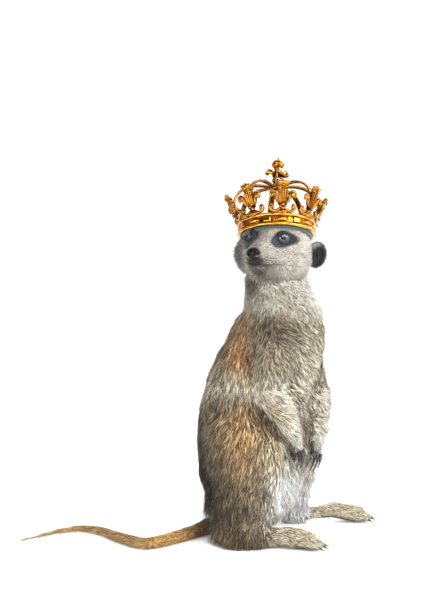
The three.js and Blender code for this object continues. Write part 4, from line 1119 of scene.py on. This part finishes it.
# ---- Ears: small dark folds of skin with short dark hair, paler at the front ----
# Each is the frame's ear made finer. Its hair points outward from the ear's middle, so the rim is soft.
EAR_GRAIN, EAR_HAIR, EAR_HAIR_WIDE, EAR_PER_MM2 = 0.55 * MM, 1.9 * MM, 0.32 * MM, 4.5
EAR_TINT, EAR_PALE = "#28282a", "#b5b4a8"
EAR_SEED = 40
for side_name in ("right", "left"):
    rng = np.random.default_rng(EAR_SEED + len(side_name))
    ear_mesh = fused([f"ear_{side_name}"], EAR_GRAIN)
    ear = evened(ear_mesh, places_of(ear_mesh), 3)
    move_to(ear_mesh, ear)
    ear_head = seen_from(ear, head_frame)
    low, high = ear_head.min(0), ear_head.max(0)
    tint = np.tile(linear(EAR_TINT)[:3], (len(ear), 1))
    front = soft_step(ear_head[:, 0], high[0] - 4, high[0]) * soft_step(ear_head[:, 2], low[2] + 6, high[2])
    paint(tint, 0.8 * front, EAR_PALE)
    colour_layer(ear_mesh, tint * 0.8)
    show(f"ear_skin_{side_name}", ear_mesh, hide, "ear_skin", f"ear_{side_name}")
    root = roots_on(ear, triangles_of(ear_mesh), np.full(len(ear), EAR_PER_MM2), rng)
    count = len(root[0])
    root_at, out = carried(ear, root), unit(carried(normals_of(ear_mesh), root))
    along = unit(root_at - ear.mean(0)) + rng.normal(0, 0.25, (count, 3))
    along = unit(along - (along * out).sum(1)[:, None] * out)
    shade = carried(tint, root) * rng.uniform(0.5, 1.7, count)[:, None]
    long = EAR_HAIR * rng.uniform(0.6, 1.4, count)
    wide = EAR_HAIR_WIDE * rng.uniform(0.7, 1.2, count)
    rising = rng.uniform(0.2, 0.6, count)
    curl = rng.normal(0, 0.1, count)
    tones = np.stack([shade * 0.8, shade * 1.2], 1)
    unwrap = unwrapped(root_at / MM, UPRIGHT)
    tufts(f"coat_ear_{side_name}", "ear_skin", root_at, along, out, long, wide, rising, curl, tones, unwrap)


# ---- Claws: curved dark horn ----
# Each foot's and hand's four claws are smoothed copies of the frame's, with fine noise in their tone.
CLAW_SWELL = 0.12 * MM
horn = patterned(
    "claw horn", 1.4 * MM, ((0.3, "#0c0c0d"), (0.55, "#1a1b1d"), (0.8, "#35373a")), 4.0, rough=(0.2, 0.42),
    IOR=1.55,
)
for limb in ("foot_right", "foot_left", "hand_right", "hand_left"):
    claws = [n for n in sorted(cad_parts) if n.startswith(f"claw_{limb}")]
    bm = merged(claws)
    for vert in bm.verts:
        vert.co += vert.normal * CLAW_SWELL
    claw_piece = show(f"claws_{limb}", mesh_of(bm, "claws"), horn, "claw_horn", *claws)
    rounding = claw_piece.modifiers.new("rounding", "SUBSURF")
    rounding.levels = 2
    rounding.render_levels = 2


# ---- Whiskers: stiff dark hairs on the muzzle, with a few over the eyes ----
# Each is a slim tapered rod that starts under the skin and bends back and down.
WHISKERS, BROW_HAIRS = 14, 3
WHISKER_HALF, WHISKER_TAPER, WHISKER_SUNK = 0.13, 0.8, 1.5
# Where the first one of each kind starts in the head, and how far apart they are.
WHISKER_FROM, RANKS_APART, ROWS_APART = (36.5, 8, -10.5), 2.3, 1.9
BROW_FROM, BROW_APART = (14.5, 11, 16), 1.5
BROW_LONG = 9
WHISKER_SEED = 70
whisker_hair = patterned(
    "whisker", 5 * MM, ((0.4, "#1b1816"), (0.7, "#5d554b")), Roughness=0.35, IOR=1.55
)
for side_name, side in SIDES:
    rng = np.random.default_rng(WHISKER_SEED + side)
    bm = bmesh.new()
    for number in range(WHISKERS + BROW_HAIRS):
        row, rank = number % 3, number // 3
        x, y, z = WHISKER_FROM
        start = np.array((x - RANKS_APART * rank, y * side, z - ROWS_APART * row)) + rng.normal(0, 0.3, 3)
        way = np.array([[-0.25 + 0.1 * (2 - rank), 0.95 * side, -0.28 - 0.16 * row]])
        way = unit(way + rng.normal(0, 0.07, 3))[0]
        long = rng.uniform(12, 17) + rank
        if number >= WHISKERS:
            x, y, z = BROW_FROM
            start = np.array((x + BROW_APART * row, y * side, z)) + rng.normal(0, 0.4, 3)
            way = unit(np.array([[-0.3, 0.55 * side, 0.75]]) + rng.normal(0, 0.1, 3))[0]
            long = BROW_LONG
        near_at = near.find_nearest(head_frame @ Vector(start * MM))[0]
        start = seen_from(np.array([near_at]), head_frame)[0] - way * WHISKER_SUNK
        rows = []
        for t in np.linspace(0, 1, 7):
            bend = np.array((-0.35, -0.15 * side, -0.30)) * long * 0.5 * t * t
            half = WHISKER_HALF * (1 - WHISKER_TAPER * t)
            rows.append((*(start + way * long * t + bend), half, half))
        rod(bm, rows, (0.3, 0.2, 1.0), sides=5)
    show(f"whiskers_{side_name}", shells(bm, "whiskers", IN_HEAD), whisker_hair, "fur_head")


# ---- Crown: gilt metal ----
# Cast and gilded: warm gold, darkened to red-brown in its hollows by painted shade with a little patina, with
# patches that are more and less polished. Each ornament is laid out in the crown's own axes: out, across and
# up, in millimetres.
FLEURONS = 8
FLEURON_TURNS = [CROWN_TURN + number * math.tau / FLEURONS for number in range(FLEURONS)]
SHARP_EDGE = math.radians(50)
WEAR, HAMMER = 5 * MM, 0.9 * MM  # sizes of the worn patches and of the fine unevenness


def gilded(name, hollow_reach, *tones):
    """Gilt metal. Its tones run from painted shade in its hollows, looked for within a distance, to its open
    faces.
    """
    metal, shader = finish(name, Metallic=1.0)
    place_on = add(metal, "ShaderNodeTexCoord").outputs["Object"]
    painted_hollow_shade = add(metal, "ShaderNodeAmbientOcclusion", {"Distance": hollow_reach}, samples=8, only_local=True)
    wear = add(metal, "ShaderNodeTexNoise", {"Vector": place_on, "Scale": 1 / WEAR, "Detail": 5.0})
    hammer = add(metal, "ShaderNodeTexNoise", {"Vector": place_on, "Scale": 1 / HAMMER, "Detail": 2.0})
    tone = add(metal, "ShaderNodeValToRGB", {"Fac": painted_hollow_shade.outputs["AO"]}, tones)
    wear_tone = add(metal, "ShaderNodeValToRGB", {"Fac": wear}, ((0.35, "#d8b890"), (0.6, "#ffffff")))
    worn = add(metal, "ShaderNodeMix", {0: 1.0, 6: tone, 7: wear_tone}, **MULTIPLY)
    ends = {"Value": wear, "From Min": 0.3, "From Max": 0.7, "To Min": 0.27, "To Max": 0.12}
    rough = add(metal, "ShaderNodeMapRange", ends)
    bump = add(metal, "ShaderNodeBump", {"Height": hammer, "Strength": 0.35, "Distance": 0.12 * MM})
    feed(shader, {"Base Color": worn.outputs[2], "Roughness": rough, "Normal": bump})
    return metal


cast_gold = gilded(
    "cast gilt brass", 8.0 * MM, (0.2, "#1c0701"), (0.5, "#552708"), (0.8, "#7d4a15"), (1.0, "#a5782c")
)
band_gold = gilded(
    "rubbed gilt brass", 3.0 * MM, (0.15, "#6b3c12"), (0.45, "#94601a"), (0.75, "#a97125"), (1.0, "#c9943f")
)


def crown_piece(name, mesh, node, turn=0.0, material=cast_gold, slot="gilt"):
    """A piece of the crown from a mesh in its own axes, turned round the crown's middle."""
    mesh.transform(crown_frame @ Matrix.Rotation(turn, 4, "Z") @ Matrix.Scale(MM, 4))
    mesh.set_sharp_from_angle(angle=SHARP_EDGE)
    show(name, mesh, material, slot, node)


def lathed(bm, profile, steps):
    """Adds what a profile of (radius, height), closed or from axis to axis, sweeps round the crown's axis."""
    start = len(bm.verts)
    corners = [bm.verts.new((r, 0, h)) for r, h in profile]
    ring = corners[1:] if profile[0][0] == 0 else corners[1:] + corners[:1]
    edges = [bm.edges.new((a, b)) for a, b in zip(corners, ring)]
    around = {"axis": (0, 0, 1), "cent": (0, 0, 0), "angle": 2 * math.pi}
    bmesh.ops.spin(bm, geom=corners + edges, steps=steps, use_merge=True, **around)
    bm.verts.ensure_lookup_table()
    bmesh.ops.remove_doubles(bm, verts=bm.verts[start:], dist=1e-4)


def ball(bm, place, radius, detail=16):
    """Adds a ball, or an ovoid where radius has three parts."""
    radii = radius if isinstance(radius, tuple) else (radius,) * 3
    stretch = Matrix.Translation(place) @ Matrix.Diagonal((*radii, 1))
    bmesh.ops.create_uvsphere(bm, u_segments=detail, v_segments=detail // 2 + 2, radius=1, matrix=stretch)


def turn_from(bm, start, turn):
    """Turns what was added since start round the crown's axis."""
    bm.verts.ensure_lookup_table()
    bmesh.ops.transform(bm, matrix=Matrix.Rotation(turn, 4, "Z"), verts=bm.verts[start:])


# ---- Crown: its band, a hoop with rolled edges, ovals and square-cut bosses ----
# Ovals lie under the fleurons, with three short bars at each side, and bosses half way between them.
BAND_PROFILE = (
    (31, 0.2), (31.4, -0.1), (32.6, 0), (33.5, 0.3), (34, 0.9), (34.15, 1.6), (33.9, 2.3), (33.4, 2.8),
    (32.9, 3), (32.5, 3.15), (32.45, 3.5), (32.45, 7.7), (32.5, 8.1), (32.8, 8.3), (33.3, 8.35), (33.6, 8.6),
    (34.2, 9), (34.4, 9.7), (34.2, 10.4), (33.7, 10.9), (33, 11.1), (31.7, 11.1), (31.4, 10.8),
)
BAND_FACE, BAND_MIDDLE = 32.45, 5.55
OVAL, OVAL_FRAME = (1.9, 4.5, 1.8), (5.3, 2.45)
BOSS, BOSS_BEVEL = (3.4, 6.4, 4.6), 0.7
BAR_TURNS = (11.2, 13.2, 15.2)  # degrees from an oval's middle
BAR_HEIGHTS = (3.1, 4, 7.2, 8.2)
bm = bmesh.new()
lathed(bm, BAND_PROFILE, 128)
for fleuron_turn in FLEURON_TURNS:
    start = len(bm.verts)
    ball(bm, (BAND_FACE, 0, BAND_MIDDLE), OVAL, 20)
    rows = []
    for turn in np.linspace(0, 2 * math.pi, 32, endpoint=False):
        y, z = OVAL_FRAME[0] * math.cos(turn), OVAL_FRAME[1] * math.sin(turn)
        rows.append((math.sqrt(BAND_FACE**2 - y * y) + 0.25, y, BAND_MIDDLE + z, 0.38, 0.5))
    rod(bm, rows, (1, 0, 0), closed=True)
    for bar in (*BAR_TURNS, *(-b for b in BAR_TURNS)):
        x, y = ((BAND_FACE + 0.05) * part(math.radians(bar)) for part in (math.cos, math.sin))
        rod(bm, [(x, y, height, 0.42, 0.6) for height in BAR_HEIGHTS], (x, y, 0), sides=6)
    turn_from(bm, start, fleuron_turn)
    half_turn = Matrix.Rotation(fleuron_turn + math.pi / FLEURONS, 4, "Z")
    boss_at = half_turn @ Matrix.Translation((BAND_FACE, 0, BAND_MIDDLE)) @ Matrix.Diagonal((*BOSS, 1))
    cube = bmesh.ops.create_cube(bm, size=1, matrix=boss_at)["verts"]
    edges = list({e for v in cube for e in v.link_edges})
    bmesh.ops.bevel(bm, geom=edges, offset=BOSS_BEVEL, segments=3, profile=0.5, affect="EDGES", material=-1)
crown_piece("gilt_band", shells(bm, "band"), "crown_band", material=band_gold)


# ---- Crown: eight fleurons, reeded leaves between scrolls ----
# A fleuron stands on the band and leans out. Its leaf has reeds, a double collar and a lobed cap with beads.
# A pair of scrolls curls up at its waist, and a low pair curls along the band. It is made once and turned.
FLEURON_FOOT, FLEURON_LEAN = (32.4, 0, 11), math.radians(21)
# Each row: out, across, up, half its width across and half its depth.
LEAF = (
    (0.4, 0, 0.1, 3.9, 2.4), (0.6, 0, 1.2, 4.3, 2.6), (0.2, 0, 2.6, 3.4, 2.1), (0, 0, 5, 2.7, 1.5),
    (0, 0, 9, 3.4, 1.9), (0.1, 0, 15.5, 4.1, 2.2), (0.8, 0, 21.8, 4.3, 2.1),
)
COLLAR = (
    (0, 0, 6.2, 3, 2.1), (0, 0, 6.7, 4.3, 2.7), (0, 0, 7.3, 3.5, 2.2), (0, 0, 7.9, 4.3, 2.7),
    (0, 0, 8.6, 3.1, 2.1),
)
CAP = (
    (0.8, 0, 21.5, 4.2, 2.1), (0.9, 0, 22.5, 5.4, 2.9), (1.0, 0, 23.6, 4.7, 2.3), (1.6, 0, 25, 5.2, 2.3),
    (2.2, 0, 26.3, 5.6, 2.0), (2.6, 0, 27.1, 4.6, 1.3),
)
WAIST_SCROLL = (
    (0.2, 2.4, 9.0, 1.3, 1.5), (0.4, 4.4, 10.4, 1.5, 1.6), (0.6, 5.6, 12.8, 1.5, 1.6),
    (0.8, 6.4, 15.6, 1.5, 1.6), (0.9, 7.8, 17.8, 1.5, 1.6), (1, 9.8, 17.4, 1.5, 1.6),
    (1.1, 10.6, 15.4, 1.4, 1.6), (1.1, 9.6, 13.6, 1.2, 1.5),
)
FOOT_SCROLL = (
    (0.4, 1.8, 3.6, 1.4, 1.5), (0.3, 4.2, 1.9, 1.5, 1.6), (0.1, 7.4, 1.5, 1.4, 1.5),
    (-0.2, 9.8, 2.7, 1.35, 1.5), (-0.5, 10.8, 5.0, 1.35, 1.5), (-0.5, 9.7, 6.8, 1.2, 1.35),
    (-0.4, 8.2, 6.2, 0.9, 1.1),
)
# Beads on the cap, the collar and the foot, and balls in the scrolls' eyes: place and radii.
BEADS = (
    ((2.3, -3.7, 26.0), (1.5, 1.5, 1.25)), ((2.3, 0, 27.0), (1.5, 1.7, 1.25)),
    ((2.3, 3.7, 26.0), (1.5, 1.5, 1.25)), ((3.6, 0, 23.9), 1.3), ((2.9, 0, 7.3), (1.0, 1.6, 1.0)),
    ((2.9, 0, 1.3), (1.1, 1.9, 1.2)),
)
SCROLL_EYES = (((1.7, 8.4, 15.4), (1.9, 2.1, 2.1)), ((0.1, 9.0, 4.9), (1.6, 1.6, 1.6)))
REED_TURNS = (-52, -26, 0, 26, 52)  # degrees from the leaf's middle
REEDS_FROM, REEDS_THIN_FROM, REED, THIN_REED = 9.0, 20.5, 0.85, 0.6
bm = bmesh.new()
leaf = through(LEAF, 5)
rod(bm, leaf, (1, 0, 0), sides=24)
upper = leaf[leaf[:, 2] > REEDS_FROM]
for facing_side in (1, -1):
    for reed in REED_TURNS:
        turn = math.radians(reed)
        rows = []
        for x, y, z, half_across, half_deep in upper[::2]:
            out = x + facing_side * half_deep * math.cos(turn)
            thick = REED if z < REEDS_THIN_FROM else THIN_REED
            rows.append((out, half_across * math.sin(turn), z, thick, thick))
        rod(bm, rows, (1, 0, 0), sides=8)
rod(bm, through(COLLAR, 3), (1, 0, 0), sides=24)
rod(bm, through(CAP, 3), (1, 0, 0), sides=24)
for place, radii in BEADS:
    ball(bm, place, radii)
for way in (1, -1):
    mirror = np.array((1, way, 1, 1, 1))
    rod(bm, through(WAIST_SCROLL, 5) * mirror, (1, 0, 0), sides=10)
    rod(bm, through(FOOT_SCROLL, 5) * mirror, (1, 0, 0), sides=10)
    for (out, across, up), radii in SCROLL_EYES:
        ball(bm, (out, across * way, up), radii)
fleuron_mesh = shells(bm, "fleuron")
fleuron_mesh.transform(Matrix.Translation(FLEURON_FOOT) @ Matrix.Rotation(FLEURON_LEAN, 4, "Y"))
for number, turn in enumerate(FLEURON_TURNS, 1):
    crown_piece(f"gilt_fleuron_{number}", fleuron_mesh.copy(), f"crown_fleuron_{number}", turn)


# ---- Crown: eight arches from the fleurons' backs to the hub ----
# Each is a thin web between two rounded rails, with small beads down its middle.
ARCH_LINE = ((35.4, 23), (37, 29), (35.2, 36), (29, 42.6), (20, 45.9), (11, 46), (4.8, 44.8))
RAIL_SPREAD, RAIL_NARROWED, RAIL_HALF_WIDE, RAIL_HALF_DEEP = 1.85, 0.35, 0.95, 0.85
WEB_HALF_DEEP, WEB_HALF_WIDE, WEB_NARROWED = 0.42, 1.8, 0.3
ARCH_BEAD = 0.95
arch = through(ARCH_LINE, 6)
bm = bmesh.new()
share = np.linspace(0, 1, len(arch))
for way in (1, -1):
    spreads = RAIL_SPREAD * (1 - RAIL_NARROWED * soft_step(share, 0.6, 1.0))
    rows = [(r, way * s, h, RAIL_HALF_WIDE, RAIL_HALF_DEEP) for (r, h), s in zip(arch, spreads)]
    rod(bm, rows, (0, 1, 0), sides=10)
web = [(r, 0, h, WEB_HALF_DEEP, WEB_HALF_WIDE * (1 - WEB_NARROWED * s)) for (r, h), s in zip(arch, share)]
rod(bm, web, (0, 1, 0), sides=6)
for r, h in through(ARCH_LINE, 4)[2:-3:2]:
    ball(bm, (r, 0, h), ARCH_BEAD, 8)
arch_mesh = shells(bm, "arch")
for number, turn in enumerate(FLEURON_TURNS, 1):
    crown_piece(f"gilt_arch_{number}", arch_mesh.copy(), f"crown_arch_{number}", turn)


# ---- Crown: the hub and finial ----
# A rolled hub holds the arches. A leaning stem rises from it to a gadrooned bulb, with four leaves round
# its neck.
HUB_PROFILE = (
    (0, 41.6), (2.4, 41.7), (4.0, 42), (4.9, 42.7), (5.6, 43.5), (5.5, 44.3), (5.0, 45.2), (5.6, 46.2),
    (5.4, 47.1), (4.4, 47.9), (3.4, 48.5), (0, 48.6),
)
STEM_PROFILE = (
    (0, 46), (3.3, 46), (3.0, 47.6), (2.7, 49), (4.1, 50.4), (4.3, 51.5), (3.4, 53.4), (2.5, 56), (2.2, 59),
    (2.3, 61), (3.2, 62.8), (4.5, 64.2), (5.2, 66), (5.1, 68), (4.2, 69.6), (2.7, 70.6), (1.2, 71.4),
    (0.7, 72.6), (0, 74),
)
FINIAL_LEAN, LEAN_FROM = math.radians(5), Vector((0, 0, 46.0))
GADROONS, GADROON_DEEP, BULB_MIDDLE, BULB_HALF = 10, 0.07, 66.6, 2.6
FINIAL_LEAF = ((1.9, 52.5), (3.3, 56.5), (5.4, 59.6), (7.4, 60.4), (8.6, 59.6), (8.8, 58.2))
LEAF_HALF_DEEP, LEAF_HALF_WIDE, LEAF_END = 1.25, 1.7, (8.8, 0, 57.4)
bm = bmesh.new()
lathed(bm, STEM_PROFILE, 40)
for vert in bm.verts:
    swell = math.exp(-(((vert.co.z - BULB_MIDDLE) / BULB_HALF) ** 2)) * GADROON_DEEP
    factor = 1 + swell * math.cos(GADROONS * math.atan2(vert.co.y, vert.co.x))
    vert.co.x, vert.co.y = vert.co.x * factor, vert.co.y * factor
for number in range(4):
    start = len(bm.verts)
    widths = np.linspace(1, 0.75, len(FINIAL_LEAF))
    line = [(r, 0, h, LEAF_HALF_DEEP * w, LEAF_HALF_WIDE * w) for (r, h), w in zip(FINIAL_LEAF, widths)]
    rod(bm, through(line, 4), (0, 1, 0), sides=10)
    ball(bm, LEAF_END, 2.0, 14)
    turn_from(bm, start, CROWN_TURN + number * math.pi / 2)
lean = Matrix.Rotation(FINIAL_LEAN, 4, "Y")
bm.transform(Matrix.Translation(LEAN_FROM) @ lean @ Matrix.Translation(-LEAN_FROM))
lathed(bm, HUB_PROFILE, 40)
bmesh.ops.remove_doubles(bm, verts=bm.verts, dist=1e-3)
crown_piece("gilt_finial", shells(bm, "finial"), "crown_finial")


# ---- Crown: its lining ----
# A padded roll of velvet inside the band's foot, blue-grey, with a soft pale edge. Its pile is drawn coarser
# than in life, so that it shows.
LINING_PROFILE = (
    (30.5, 3.5), (30.52, 0.6), (30.5, -1.2), (30, -2.1), (28.8, -2.2), (27.6, -1.5), (27.2, 0.5), (27.2, 3.5),
)
velvet = patterned(
    "blue-grey velvet", 0.5 * MM, ((0.3, "#1d2c2d"), (0.7, "#394f51")), 3.0, bump=(0.5, 0.2 * MM),
    Roughness=0.9, Sheen_Weight=0.3,
)
bm = bmesh.new()
lathed(bm, LINING_PROFILE, 96)
crown_piece("velvet_lining", shells(bm, "lining"), "crown_lining", material=velvet, slot="lining_felt")
